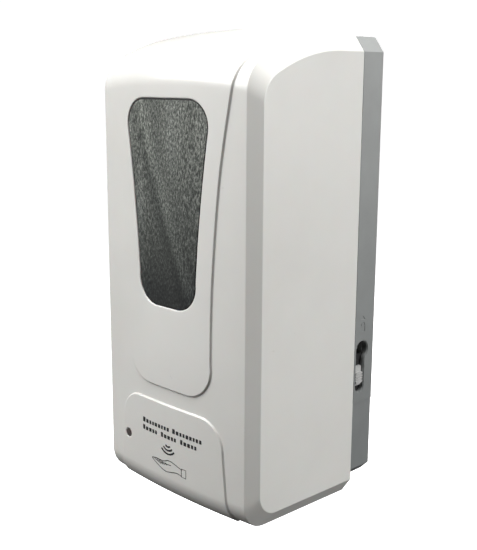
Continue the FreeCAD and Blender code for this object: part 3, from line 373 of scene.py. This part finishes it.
def outlines():
    """Loops and lines of the cover in the unrolled surface."""
    top = [(SHIELD_TOP_X, LENGTH), (SHIELD_TOP_X, station_at(SHIELD_TOP_X, SHIELD_TOP_Z) + 3.0)]
    shield = np.concatenate([np.array(top), unrolled(shield_half())])
    panel = unrolled(panel_half())
    foot = STATIONS[1] + 3.0
    low = [(48.0, foot + 11.0), (48.4, foot + 5.0), (44.4, foot), (0.0, foot)]
    panel = np.concatenate([panel, np.array(low)])
    circle = [(LED_X + LED_R * math.cos(a), station_at(LED_X, LED_Z) + LED_R * math.sin(a))
              for a in np.linspace(0.0, -2.0 * math.pi, 40, endpoint=False)]
    side = FLOOR_HOLE_X - FLOOR_HOLE_R
    back, front = FLOOR_HOLE_BACK_Y - FLOOR_HOLE_R, FLOOR_HOLE_FRONT_Y + FLOOR_HOLE_R
    hole = []
    corners = ((side, back, 0.0), (side, front, -90.0), (-side, front, -180.0), (-side, back, -270.0))
    for cx, cy, start in corners:
        for step in range(6):
            a = math.radians(start + 90.0 - 18.0 * step)
            hole.append((cx + FLOOR_HOLE_R * math.cos(a), BACK_Y - (cy + FLOOR_HOLE_R * math.sin(a))))
    return {
        "shield": mirror_open(shield),
        "panel": mirror_closed(panel),
        "window": mirror_closed(unrolled(window_half())),
        "led": np.array(circle),
        "floor": np.array(hole),
    }


def signed(points, loop):
    """Distance to a loop, positive inside."""
    d = distance_to(points, loop, True)
    return np.where(inside(points, loop), d, -d)


def shield_loop(lines):
    """The shield's line closed beyond the seam, so that its inside is well defined."""
    line = lines["shield"]
    far = LENGTH + 30.0
    return np.concatenate([[[line[0][0], far]], line, [[line[-1][0], far]]])


def displacement(points, lines):
    """Height of the raised shield and panel, less the rounding at the window and the hole rims."""
    shield = signed(points, shield_loop(lines))
    panel = signed(points, lines["panel"])
    rise = SHIELD_RISE * smoothstep((shield + STEP_HALF) / (2.0 * STEP_HALF))
    rise += PANEL_RISE * smoothstep((panel + STEP_HALF) / (2.0 * STEP_HALF))
    over_top = smoothstep((points[:, 1] - STATIONS[3]) / CORNER_R)
    groove = GROOVE_DEPTH + (TOP_GROOVE_DEPTH - GROOVE_DEPTH) * over_top
    for line in (shield, panel):
        off_middle = np.abs(line + STEP_HALF + 0.5 * GROOVE_WIDTH) / (0.5 * GROOVE_WIDTH)
        rise -= groove * np.clip(1.0 - off_middle, 0.0, 1.0)
    for name, radius in (("window", RIM_R), ("led", LED_RIM_R)):
        d = np.clip(-signed(points, lines[name]), 0.0, radius)
        rise -= radius - np.sqrt(np.maximum(radius**2 - (radius - d) ** 2, 0.0))
    return rise


def rows_along():
    """Stations with a closer spacing on the curved stretches."""
    rows = [0.0]
    for index, (a, b) in enumerate(zip(STATIONS, STATIONS[1:])):
        spacing = ARC_ROW_SPACING if index in ARC_STRETCHES else FLAT_ROW_SPACING
        count = max(1, int(math.ceil((b - a) / spacing)))
        rows += list(np.linspace(a, b, count + 1)[1:])
    return np.array(rows)


def cover_sheet(lines):
    """Triangles of the unrolled front, top and bottom, with edges along every outline."""
    limit = OUTER.edge_x - EDGE_ROUND
    rows = rows_along()
    columns = np.linspace(-limit, limit, COLUMN_COUNT)
    verts, edges = [], []

    def add_line(points, closed):
        first = len(verts)
        verts.extend([tuple(p) for p in points])
        count = len(points)
        edges.extend([(first + i, first + i + 1) for i in range(count - 1)])
        if closed:
            edges.append((first + count - 1, first))

    for offset in STEP_OFFSETS:
        line = offset_line(lines["shield"], offset, False)
        line[0, 1] = line[-1, 1] = LENGTH
        line[0, 0], line[-1, 0] = line[1, 0], line[-2, 0]
        add_line(line, False)
        add_line(offset_line(lines["panel"], offset, True), True)
    for offset in RIM_OFFSETS:
        add_line(offset_line(lines["window"], offset, True), True)
        add_line(offset_line(lines["led"], offset * LED_RIM_R / RIM_R, True), True)
    add_line(lines["floor"], True)
    grid = np.array([(x, s) for x in columns[1:-1] for s in rows[1:-1]])
    keep = np.ones(len(grid), bool)
    for name, closed, margin in GRID_MARGINS:
        keep &= distance_to(grid, lines[name], closed) > margin
    verts.extend([tuple(p) for p in grid[keep]])
    ends = [v[0] for v in verts if abs(v[1] - LENGTH) < 1e-9]
    border = [(x, 0.0) for x in columns]
    top_columns = [x for x in columns if all(abs(x - e) > 0.25 for e in ends)]
    border += [(x, LENGTH) for x in top_columns]
    border += [(side * limit, s) for side in (-1, 1) for s in rows[1:-1]]
    verts.extend(border)
    result = delaunay_2d_cdt([Vector(v) for v in verts], edges, [], 0, 1e-5)
    points = np.array([tuple(v) for v in result[0]])
    faces = np.array([tuple(f) for f in result[2]])
    centres = points[faces].mean(1)
    drop = np.zeros(len(faces), bool)
    for name in ("window", "led", "floor"):
        drop |= inside(centres, lines[name])
    a, b, c = (points[faces[:, i]] for i in range(3))
    turn = (b[:, 0] - a[:, 0]) * (c[:, 1] - a[:, 1]) - (b[:, 1] - a[:, 1]) * (c[:, 0] - a[:, 0])
    drop |= np.abs(turn) < 1e-9
    faces, turn = faces[~drop], turn[~drop]
    faces[turn < 0] = faces[turn < 0][:, ::-1]
    return points, faces, limit


def bent_edge(before, corner, after):
    """Points of a small rounded edge, as a curve that the corner pulls towards itself."""
    made = []
    for t in np.linspace(0.0, 1.0, EDGE_STEPS + 1):
        made.append((1.0 - t) ** 2 * before + 2.0 * t * (1.0 - t) * corner + t**2 * after)
    return made


def side_rings(front, at_side, side, stations):
    """Rings of points from the front surface's edge round the bevel to the side face."""
    edge_x = np.full(len(stations), front.edge_x)
    y, z, _, _ = surface(front, edge_x, stations)
    near = np.stack([edge_x, y, z], 1)
    y, z, ny, nz = surface(at_side, edge_x, stations)
    far = np.stack([np.full(len(stations), front.side_x), y, z], 1)
    across = far - near
    across /= np.linalg.norm(across, axis=1)[:, None]
    inwards = np.stack([np.zeros(len(stations)), -ny, -nz], 1)
    first = bent_edge(near - [EDGE_ROUND, 0.0, 0.0], near, near + across * EDGE_ROUND)
    second = bent_edge(far - across * EDGE_ROUND, far, far + inwards * EDGE_ROUND)
    return [ring * [side, 1.0, 1.0] for ring in first[1:] + second]


def build_cover():
    """Cover with its wall thickness: outer sheet, inner sheet, bevels, side faces and rims."""
    lines = outlines()
    sheet, faces, limit = cover_sheet(lines)
    x, s = sheet[:, 0], sheet[:, 1]
    y, z, ny, nz = surface(OUTER, x, s)
    rise = displacement(sheet, lines)
    outer = np.stack([x, y + ny * rise, z + nz * rise], 1)
    inner_limit = INNER.edge_x - EDGE_ROUND
    inner_x = x * inner_limit / limit
    yi, zi, _, _ = surface(INNER, inner_x, s)
    inner = np.stack([inner_x, yi, zi], 1)
    faces = [tuple(int(i) for i in f) for f in faces]
    outer_blocks, inner_blocks, count = [outer], [inner], len(outer)
    for side in (-1, 1):
        border = np.where(np.abs(x - side * limit) < 1e-4)[0]
        border = border[np.argsort(s[border])]
        stations = s[border]
        rings_out = side_rings(OUTER, OUTER_SIDE, side, stations)
        rings_in = side_rings(INNER, INNER_SIDE, side, stations)
        previous = list(border)
        for ring_out, ring_in in zip(rings_out, rings_in):
            current = list(range(count, count + len(stations)))
            outer_blocks.append(ring_out)
            inner_blocks.append(ring_in)
            count += len(stations)
            for i in range(len(stations) - 1):
                quad = (previous[i], current[i], current[i + 1], previous[i + 1])
                faces.append(quad if side > 0 else quad[::-1])
            previous = current
        cap = tuple(previous)
        faces.append(cap if side > 0 else cap[::-1])
    outer, inner = np.concatenate(outer_blocks), np.concatenate(inner_blocks)
    total = len(outer)
    used = dict.fromkeys((a, b) for face in faces for a, b in zip(face, face[1:] + face[:1]))
    rims = [(b, a, a + total, b + total) for a, b in used if (b, a) not in used]
    flipped = [tuple(i + total for i in reversed(face)) for face in faces]
    points = np.concatenate([outer, inner])
    cover = make_object("cover_shell", points, faces + flipped + rims)
    weight_normals(cover)
    return cover, lines


cover, cover_lines = build_cover()
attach(cover, "cover")
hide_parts("front_cover")


# Pieces fixed to the cover --------------------------------------------------------------------------

# Painted shadow: a black ring that stands for the shadow in the gap round the window; how far it rises and
# how wide it is, in millimetres
GAP_SHADOW_RISE = 0.38
GAP_SHADOW_WIDTH = 0.75
RIB_HEIGHT = 1.6


def build_gap_shadow_ring():
    """Thin black ring in the gap round the window: a dark sheet put there as painted shadow in that gap."""
    loop = cover_lines["window"]
    count = len(loop)
    points = []
    for offset, rise in ((0.0, 0.0), (0.0, GAP_SHADOW_RISE), (-GAP_SHADOW_WIDTH, GAP_SHADOW_RISE)):
        line = offset_line(loop, offset, True)
        y, z, ny, nz = surface(OUTER, line[:, 0], line[:, 1])
        points += list(np.stack([line[:, 0], y + ny * rise, z + nz * rise], 1))
    faces = []
    for ring in (0, count):
        for i in range(count):
            after = (i + 1) % count
            faces.append((ring + i, ring + after, ring + count + after, ring + count + i))
    return make_object("window_gap_shadow", points, faces)


def build_ribs():
    """Four small stiffening plates inside the cover's side walls."""
    outline = [(56.6, -24.0), (62.55, -24.0), (62.55, -95.7), (59.3, -99.0), (56.6, -99.0)]
    points, faces = [], []
    for side in (-1, 1):
        for low in (110.0, 236.0):
            first, count = len(points), len(outline)
            points += [(side * x, y, z) for z in (low, low + RIB_HEIGHT) for x, y in outline]
            shapes = [tuple(range(count)), tuple(range(2 * count - 1, count - 1, -1))]
            shapes += [(i, i + count, (i + 1) % count + count, (i + 1) % count) for i in range(count)]
            for shape in shapes:
                turned = shape if side > 0 else shape[::-1]
                faces.append(tuple(first + i for i in turned))
    return make_object("cover_ribs", points, faces, smooth=False)


gap_shadow_ring = build_gap_shadow_ring()
ribs = build_ribs()
for piece, slot in ((gap_shadow_ring, "seal_black"), (ribs, "cover_white")):
    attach(piece, "cover")


# Printed marks ------------------------------------------------------------------------------------

INK_LIFT = 0.05

# Rows of bars: height of the foot, bars in each group, and the gap after a group
ROWS = ((41.6, (9, 9), 2.2), (36.8, (5, 5, 5), 2.9))
ROW_START_X = -23.4
BAR_WIDTHS = (2.28, 1.8, 2.04, 1.68, 2.28, 1.92, 1.56, 2.16, 1.8)
BAR_GAP = 0.85
BAR_ROUND = 0.35
BAR_HEIGHT = 2.3
FIRST_BAR_HEIGHT = 3.0

# Arcs and hand
ARC_CENTRE = (-0.2, 34.4)
ARC_RADII = (2.6, 5.0, 7.4)
ARC_FLATNESS = 0.92
ARC_STROKE = 1.1
HAND_STROKE = 0.5
FINGER_STROKE = 0.45
CURVE_STEPS = 6


def on_panel(x, z):
    """Point just above the raised lower panel."""
    share = (x / (HALF_WIDTH - BEVEL)) ** 2
    return (x, BULGE * share - DEPTH - PANEL_RISE - INK_LIFT, z)


def ribbon(points, width):
    """Flat stroke along a line of (x, z) points, as points and faces."""
    line = np.array(points, float)
    left = offset_line(line, width / 2.0, False)
    right = offset_line(line, -width / 2.0, False)
    count = len(line)
    verts = [on_panel(*p) for p in left] + [on_panel(*p) for p in right]
    faces = [(i, i + 1, count + i + 1, count + i) for i in range(count - 1)]
    return verts, faces


def rounded_bar(x0, x1, z0, z1, radius):
    """Small bar with round corners, as one face."""
    verts = []
    corners = ((x1 - radius, z1 - radius, 0.0), (x0 + radius, z1 - radius, 90.0),
               (x0 + radius, z0 + radius, 180.0), (x1 - radius, z0 + radius, 270.0))
    for cx, cz, start in corners:
        for step in range(4):
            a = math.radians(start + 30.0 * step)
            verts.append(on_panel(cx + radius * math.cos(a), cz + radius * math.sin(a)))
    return verts, [tuple(range(len(verts)))]


def joined(name, parts):
    """One object from several (points, faces) pairs, fixed to the cover."""
    verts, faces = [], []
    for part_verts, part_faces in parts:
        base = len(verts)
        verts += part_verts
        faces += [tuple(i + base for i in face) for face in part_faces]
    made = make_object(name, verts, faces, smooth=False)
    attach(made, "cover")
    return made


def print_marks():
    """Two rows of plain bars, three arcs and an open hand: generic marks with no lettering."""
    bars = []
    for foot_z, groups, group_gap in ROWS:
        x = ROW_START_X
        for group in groups:
            for index in range(group):
                width = BAR_WIDTHS[(index * 4 + group) % len(BAR_WIDTHS)]
                height = FIRST_BAR_HEIGHT if index == 0 else BAR_HEIGHT
                bars.append(rounded_bar(x, x + width, foot_z, foot_z + height, BAR_ROUND))
                x += width + BAR_GAP
            x += group_gap
    arcs = []
    for radius in ARC_RADII:
        line = [(ARC_CENTRE[0] + radius * math.cos(a), ARC_CENTRE[1] + ARC_FLATNESS * radius * math.sin(a))
                for a in np.radians(np.linspace(-140.0, -40.0, 22))]
        arcs.append(ribbon(line, ARC_STROKE))
    palm = smooth_curve([(12.0, 21.3), (8.0, 22.3), (3.5, 23.4), (0.0, 23.5), (-3.0, 22.4), (-6.0, 21.9),
                         (-10.5, 22.0), (-14.6, 21.3), (-13.8, 20.4), (-10.2, 18.7), (-6.0, 17.0),
                         (-2.0, 16.2), (2.5, 16.9), (7.5, 17.9), (12.0, 17.4)], CURVE_STEPS)
    cuff = [(11.6, 21.9), (15.4, 22.0), (15.4, 16.9), (11.6, 17.0), (11.6, 21.9)]
    fingers = [[(-12.6, 21.2), (-9.4, 20.4), (-6.4, 19.6)], [(-10.6, 21.6), (-7.6, 20.7), (-4.8, 19.8)],
               [(-8.2, 21.6), (-5.8, 20.8), (-3.0, 20.0)], [(-5.6, 21.4), (-3.4, 20.9), (-1.0, 20.3)],
               [(-3.2, 21.3), (-0.8, 20.9), (2.6, 21.2)]]
    hand = [ribbon(palm, HAND_STROKE), ribbon(cuff, HAND_STROKE)]
    hand += [ribbon(smooth_curve(finger, CURVE_STEPS), FINGER_STROKE) for finger in fingers]
    return [joined("print_bars", bars), joined("print_arcs", arcs), joined("print_hand", hand)]


marks = print_marks()


# Materials ----------------------------------------------------------------------------------------

class Material:
    """Short way to write a node material around one Principled shader."""

    def __init__(self, name):
        self.material = bpy.data.materials.new(name)
        self.material.use_nodes = True
        self.tree = self.material.node_tree
        self.shader = self.tree.nodes["Principled BSDF"]
        self.place = self.tree.nodes.new("ShaderNodeTexCoord").outputs["Object"]

    def set(self, **values):
        """Sets plain values of the shader."""
        for key, value in values.items():
            self.shader.inputs[key.replace("_", " ")].default_value = value

    def link(self, output, target):
        """Feeds one input of the shader."""
        self.tree.links.new(output, self.shader.inputs[target])

    def noise(self, scale, detail=4.0, stretch=None, roughness=0.55):
        """Noise, stretched by a (scale, rotation) pair if one is given."""
        node = self.tree.nodes.new("ShaderNodeTexNoise")
        node.inputs["Scale"].default_value = scale
        node.inputs["Detail"].default_value = detail
        node.inputs["Roughness"].default_value = roughness
        source = self.place
        if stretch is not None:
            mapping = self.tree.nodes.new("ShaderNodeMapping")
            mapping.inputs["Scale"].default_value = stretch[0]
            mapping.inputs["Rotation"].default_value = stretch[1]
            self.tree.links.new(self.place, mapping.inputs["Vector"])
            source = mapping.outputs["Vector"]
        self.tree.links.new(source, node.inputs["Vector"])
        return node.outputs["Fac"]

    def ramp(self, value, stops):
        """Colours at stops along a value."""
        node = self.tree.nodes.new("ShaderNodeValToRGB")
        elements = node.color_ramp.elements
        while len(elements) < len(stops):
            elements.new(0.5)
        for element, (position, colour) in zip(elements, stops):
            element.position = position
            element.color = (*colour, 1.0)
        self.tree.links.new(value, node.inputs["Fac"])
        return node.outputs["Color"]

    def spread(self, value, low, high, out_low, out_high):
        """A value moved from one range to another."""
        node = self.tree.nodes.new("ShaderNodeMapRange")
        for key, number in (("From Min", low), ("From Max", high), ("To Min", out_low), ("To Max", out_high)):
            node.inputs[key].default_value = number
        self.tree.links.new(value, node.inputs["Value"])
        return node.outputs["Result"]

    def distance_along(self, direction):
        """Distance along a direction from the object's own origin."""
        node = self.tree.nodes.new("ShaderNodeVectorMath")
        node.operation = "DOT_PRODUCT"
        node.inputs[1].default_value = direction
        self.tree.links.new(self.place, node.inputs[0])
        return node.outputs["Value"]

    def share_of_height(self, name):
        """0 at the foot of a CAD node and 1 at its top."""
        low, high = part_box(name)
        return self.spread(self.distance_along((0.0, 0.0, 1.0)), low[2], high[2], 0.0, 1.0)

    def multiplied(self, a, b):
        """Product of two colours."""
        node = self.tree.nodes.new("ShaderNodeMix")
        node.data_type = "RGBA"
        node.blend_type = "MULTIPLY"
        sockets = {socket.name: socket for socket in node.inputs if socket.enabled}
        sockets["Factor"].default_value = 1.0
        self.tree.links.new(a, sockets["A"])
        self.tree.links.new(b, sockets["B"])
        return [socket for socket in node.outputs if socket.enabled][0]

    def bump(self, height, strength, distance):
        """Fine relief of the surface."""
        node = self.tree.nodes.new("ShaderNodeBump")
        node.inputs["Strength"].default_value = strength
        node.inputs["Distance"].default_value = distance
        self.tree.links.new(height, node.inputs["Height"])
        self.link(node.outputs["Normal"], "Normal")


def shades(colour, amount):
    """A darker, the same and a lighter shade of a colour."""
    return [tuple(min(1.0, c * (1.0 + k * amount)) for c in colour) for k in (-1.0, 0.0, 1.0)]


def plastic(name, colour, roughness, variation=0.04, grain=1800.0, grain_depth=0.00001, gloss=0.0):
    """Moulded plastic: slight mottling of colour and gloss, and a fine moulded grain."""
    made = Material(name)
    low, middle, high = shades(colour, variation)
    cloud = made.noise(45.0, 5.0)
    made.link(made.ramp(cloud, [(0.3, low), (0.5, middle), (0.7, high)]), "Base Color")
    made.link(made.spread(made.noise(120.0, 6.0), 0.3, 0.7, roughness * 0.86, roughness * 1.14), "Roughness")
    made.set(Coat_Weight=gloss, Coat_Roughness=0.12)
    made.bump(made.noise(grain, 3.0), 0.5, grain_depth)
    return made.material


def metal(name, colour, roughness, stretch=((1.0, 30.0, 1.0), (0.0, 0.0, 0.0))):
    """Machined or plated metal with fine drawn lines."""
    made = Material(name)
    lines = made.noise(300.0, 4.0, stretch)
    low, middle, high = shades(colour, 0.12)
    made.link(made.ramp(lines, [(0.3, low), (0.5, middle), (0.7, high)]), "Base Color")
    made.link(made.spread(lines, 0.3, 0.7, roughness * 0.8, roughness * 1.25), "Roughness")
    made.set(Metallic=1.0)
    made.bump(lines, 0.25, 0.00002)
    return made.material


def cover_plastic():
    """Glossy off-white cover, with faint flow clouding and a barely visible orange peel."""
    made = Material("cover_gloss_white")
    cloud = made.noise(14.0, 6.0)
    made.link(made.ramp(cloud, [(0.25, (0.735, 0.725, 0.690)), (0.5, (0.765, 0.757, 0.722)),
                                (0.75, (0.790, 0.783, 0.750))]), "Base Color")
    made.link(made.spread(made.noise(70.0, 7.0), 0.25, 0.75, 0.27, 0.36), "Roughness")
    made.set(Coat_Weight=0.35, Coat_Roughness=0.09, Subsurface_Weight=0.04, Subsurface_Scale=0.004)
    made.bump(made.noise(260.0, 3.0), 0.18, 0.00002)
    return made.material


# Painted reflection on the window: direction across its slanting paler streak, which runs down from the upper
# left, and how far its ramp reaches to each side, in metres
REFLECTION_STREAK_NORMAL = (0.928, 0.0, 0.371)
REFLECTION_STREAK_REACH = 0.025


def window_plastic():
    """Smoky window with a fine frosted grain, a painted reflection as a slanting paler streak, painted shade
    that darkens its foot and painted light towards its top.
    """
    made = Material("window_frosted_smoke")
    grain = made.noise(1150.0, 2.0, ((1.0, 1.0, 0.42), (0.0, math.radians(8.0), 0.0)), 0.8)
    speckle = made.ramp(grain, [(0.34, (0.022, 0.025, 0.023)), (0.5, (0.098, 0.106, 0.098)),
                                (0.68, (0.33, 0.34, 0.32))])
    cloud = made.noise(15.0, 2.0, ((2.6, 1.0, 0.42), (0.0, math.radians(-20.0), 0.0)))
    cloudy = made.ramp(cloud, [(0.34, (0.76, 0.77, 0.76)), (0.5, (0.92, 0.92, 0.90)),
                               (0.66, (1.25, 1.25, 1.25))])
    across = made.spread(made.distance_along(REFLECTION_STREAK_NORMAL), -REFLECTION_STREAK_REACH, REFLECTION_STREAK_REACH, 0.0, 1.0)
    # Painted reflection: a paler slanting band beside a darker one, multiplied into the window's colour
    painted_reflection_streak = made.ramp(across, [(0.18, (1.0, 1.0, 1.0)), (0.31, (0.62, 0.63, 0.63)), (0.41, (1.5, 1.5, 1.5)),
                                (0.56, (1.0, 1.0, 1.0))])
    # Painted shade and light: the window's colour darkens towards its foot and lightens a little near its top
    painted_window_shading = made.ramp(made.share_of_height("window_lens"),
                      [(0.08, (0.19, 0.20, 0.21)), (0.3, (0.53, 0.54, 0.53)), (0.5, (0.86, 0.87, 0.86)),
                       (0.85, (1.18, 1.18, 1.15))])
    toned = made.multiplied(made.multiplied(speckle, cloudy), painted_reflection_streak)
    made.link(made.multiplied(toned, painted_window_shading), "Base Color")
    made.link(made.spread(grain, 0.3, 0.7, 0.38, 0.6), "Roughness")
    made.set(Coat_Weight=0.1, Coat_Roughness=0.2, IOR=1.4)
    made.bump(grain, 0.5, 0.00012)
    return made.material


def housing_plastic():
    """Grained grey plastic with painted shade that makes it a little darker towards its foot and painted
    light that makes its top a little lighter.
    """
    made = Material("housing_grey")
    cloud = made.ramp(made.noise(45.0, 5.0), [(0.3, (0.262, 0.271, 0.266)), (0.5, (0.275, 0.285, 0.280)),
                                             (0.7, (0.288, 0.299, 0.294))])
    # Painted shade and light: the grey darkens towards the housing's foot and lightens towards its top
    painted_housing_shading = made.ramp(made.share_of_height("rear_housing"),
                     [(0.1, (0.77, 0.78, 0.79)), (0.55, (0.97, 0.97, 0.97)), (0.95, (1.17, 1.16, 1.16))])
    made.link(made.multiplied(cloud, painted_housing_shading), "Base Color")
    made.link(made.spread(made.noise(120.0, 6.0), 0.3, 0.7, 0.43, 0.57), "Roughness")
    made.bump(made.noise(1500.0, 3.0), 0.5, 0.00004)
    return made.material


def build_materials():
    """Material of each slot."""
    return {
        "cover_white": cover_plastic(),
        "window_smoke": window_plastic(),
        "housing_grey": housing_plastic(),
        "latch_grey": plastic("latch_grey", (0.50, 0.50, 0.49), 0.42),
        "module_grey": plastic("module_grey", SLOT_COLOUR["module_grey"], 0.55, 0.06, 1300.0, 0.00004),
        "module_black": plastic("module_black", (0.018, 0.018, 0.019), 0.42, 0.15),
        "gear_white": plastic("gear_white", SLOT_COLOUR["gear_white"], 0.38),
        "tank_frosted": plastic("tank_frosted", (0.62, 0.66, 0.66), 0.42, 0.05, 900.0, 0.00003, 0.1),
        "cap_blue": plastic("cap_blue", (0.045, 0.12, 0.24), 0.40, 0.08),
        "silicone": plastic("silicone", (0.62, 0.61, 0.56), 0.46, 0.06),
        "seal_black": plastic("seal_black", (0.012, 0.012, 0.012), 0.65, 0.2),
        "steel": metal("steel", (0.56, 0.56, 0.56), 0.28),
        "motor_steel": metal("motor_steel", (0.48, 0.49, 0.50), 0.34, ((1.0, 0.05, 1.0), (0.0, 0.0, 0.0))),
        "contact_metal": metal("contact_metal", (0.70, 0.66, 0.55), 0.26),
        "board_green": plastic("board_green", (0.012, 0.085, 0.035), 0.30, 0.12, 900.0, 0.00003, 0.3),
        "chip_black": plastic("chip_black", (0.016, 0.016, 0.017), 0.50, 0.2),
        "led_clear": plastic("led_clear", (0.10, 0.085, 0.08), 0.16, 0.1, 900.0, 0.00001, 0.6),
        "cell_wrap": plastic("cell_wrap", (0.03, 0.04, 0.05), 0.25, 0.1, 700.0, 0.00001, 0.5),
        "wire_red": plastic("wire_red", (0.36, 0.018, 0.014), 0.45, 0.08),
    }


def assign(made, material):
    """Gives an object one material."""
    made.data.materials.clear()
    made.data.materials.append(material)
    made.data.polygons.foreach_set("material_index", np.zeros(len(made.data.polygons), np.int32))


materials = build_materials()
ink = plastic("print_ink", (0.020, 0.020, 0.021), 0.5, 0.2)
for name, node in NODES.items():
    assign(node, materials[NODE_SLOT[name]])
assign(cover, materials["cover_white"])
assign(ribs, materials["cover_white"])
# Black material on the ring that stands for the painted shadow in the window's gap
assign(gap_shadow_ring, materials["seal_black"])
for mark in marks:
    assign(mark, ink)


# Studio -------------------------------------------------------------------------------------------

# Camera: heading, downward tilt and roll in degrees; place, sensor and focal length in millimetres;
# farthest visible distance in metres
CAMERA_ANGLES = (45.33, 12.02, 0.32)
CAMERA_PLACE = (386.15, -431.79, 242.19 - ORIGIN_Z)
SENSOR_WIDTH = 36.0
FOCAL_LENGTH = 59.91
VIEW_DISTANCE = 50.0


def build_camera():
    """Camera that looks at the object from its front right and a little above."""
    azimuth, elevation, roll = (math.radians(angle) for angle in CAMERA_ANGLES)
    place = Vector(CAMERA_PLACE) * MM
    ahead = Vector((-math.sin(azimuth) * math.cos(elevation), math.cos(azimuth) * math.cos(elevation),
                    -math.sin(elevation)))
    right = Vector((math.cos(azimuth), math.sin(azimuth), 0.0))
    up = right.cross(ahead)
    turned = right * math.cos(roll) + up * math.sin(roll)
    top = up * math.cos(roll) - right * math.sin(roll)
    data = bpy.data.cameras.new("camera")
    data.sensor_width = SENSOR_WIDTH
    data.lens = FOCAL_LENGTH
    data.clip_end = VIEW_DISTANCE
    made = bpy.data.objects.new("camera", data)
    bpy.context.scene.collection.objects.link(made)
    rotation = Matrix((turned, top, -ahead)).transposed().to_4x4()
    made.matrix_world = Matrix.Translation(place) @ rotation
    bpy.context.scene.camera = made


def area_light(name, place, size, power):
    """Soft rectangular light that points at LIGHT_TARGET."""
    data = bpy.data.lights.new(name, "AREA")
    data.shape = "RECTANGLE"
    data.size, data.size_y = size
    data.energy = power
    made = bpy.data.objects.new(name, data)
    bpy.context.scene.collection.objects.link(made)
    made.location = place
    made.rotation_euler = (Vector(LIGHT_TARGET) - Vector(place)).to_track_quat("-Z", "Y").to_euler()


# Name, place, size and power of each soft light, in metres and watts
LIGHTS = [
    ("top", (0.0, -0.05, 1.2), (1.2, 1.2), 20.0),
    ("right", (1.2, 0.45, 0.55), (0.8, 1.2), 18.5),
    ("left", (-0.64, -0.88, 0.74), (0.7, 1.0), 15.3),
    ("front_high", (0.08, -0.5, 0.5), (0.3, 0.3), 0.95),
    ("left_low", (-0.8, -1.1, -0.1), (0.8, 0.8), 1.5),
    ("back", (-0.7, 1.2, 0.6), (0.8, 0.8), 9.0),
]
LIGHT_TARGET = (0.0, -0.05, 0.0)
WORLD_STRENGTH = 0.05

# Backdrop, in metres
FLOOR_Z_M = -0.42
BACKDROP_SIDES = 64
CURVE_SEGMENTS = 12
BACKDROP_MIDDLE_R = 0.2
BACKDROP_R = 4.0
BACKDROP_CURVE = 1.5
BACKDROP_HEIGHT = 6.0


def build_backdrop():
    """Round pale floor under the object that curves up into a wall on every side."""
    outline = [(BACKDROP_MIDDLE_R, FLOOR_Z_M), (BACKDROP_R - BACKDROP_CURVE, FLOOR_Z_M)]
    for step in range(1, CURVE_SEGMENTS + 1):
        a = math.radians(90.0 * step / CURVE_SEGMENTS)
        outline.append((BACKDROP_R - BACKDROP_CURVE * (1.0 - math.sin(a)),
                        FLOOR_Z_M + BACKDROP_CURVE * (1.0 - math.cos(a))))
    outline.append((BACKDROP_R, FLOOR_Z_M + BACKDROP_HEIGHT))
    sides = BACKDROP_SIDES
    turns = [2.0 * math.pi * i / sides for i in range(sides)]
    verts = [(r * math.cos(a), r * math.sin(a), z) for r, z in outline for a in turns]
    faces = [tuple(range(sides))]
    for ring in range(len(outline) - 1):
        for i in range(sides):
            here, after = ring * sides + i, ring * sides + (i + 1) % sides
            faces.append((here, here + sides, after + sides, after))
    mesh = bpy.data.meshes.new("sweep")
    mesh.from_pydata(verts, [], faces)
    mesh.shade_smooth()
    sweep = bpy.data.objects.new("sweep", mesh)
    bpy.context.scene.collection.objects.link(sweep)
    pale = Material("sweep_pale")
    cloud = pale.noise(2.0, 2.0)
    pale.link(pale.ramp(cloud, [(0.3, (0.88, 0.88, 0.88)), (0.7, (0.92, 0.92, 0.92))]), "Base Color")
    pale.set(Roughness=0.9, Emission_Color=(1.0, 1.0, 1.0, 1.0), Emission_Strength=0.9)
    sweep.data.materials.append(pale.material)
    sweep.visible_diffuse = False
    sweep.visible_glossy = False
    sweep.visible_shadow = False


def build_studio():
    """Backdrop, a faint even light from all round, and the soft lights."""
    build_backdrop()
    world = bpy.data.worlds.new("studio")
    world.use_nodes = True
    background = world.node_tree.nodes["Background"]
    background.inputs["Color"].default_value = (1.0, 1.0, 1.0, 1.0)
    background.inputs["Strength"].default_value = WORLD_STRENGTH
    bpy.context.scene.world = world
    for name, place, size, power in LIGHTS:
        area_light(name, place, size, power)


build_camera()
build_studio()
bpy.context.scene.view_settings.view_transform = "Standard"
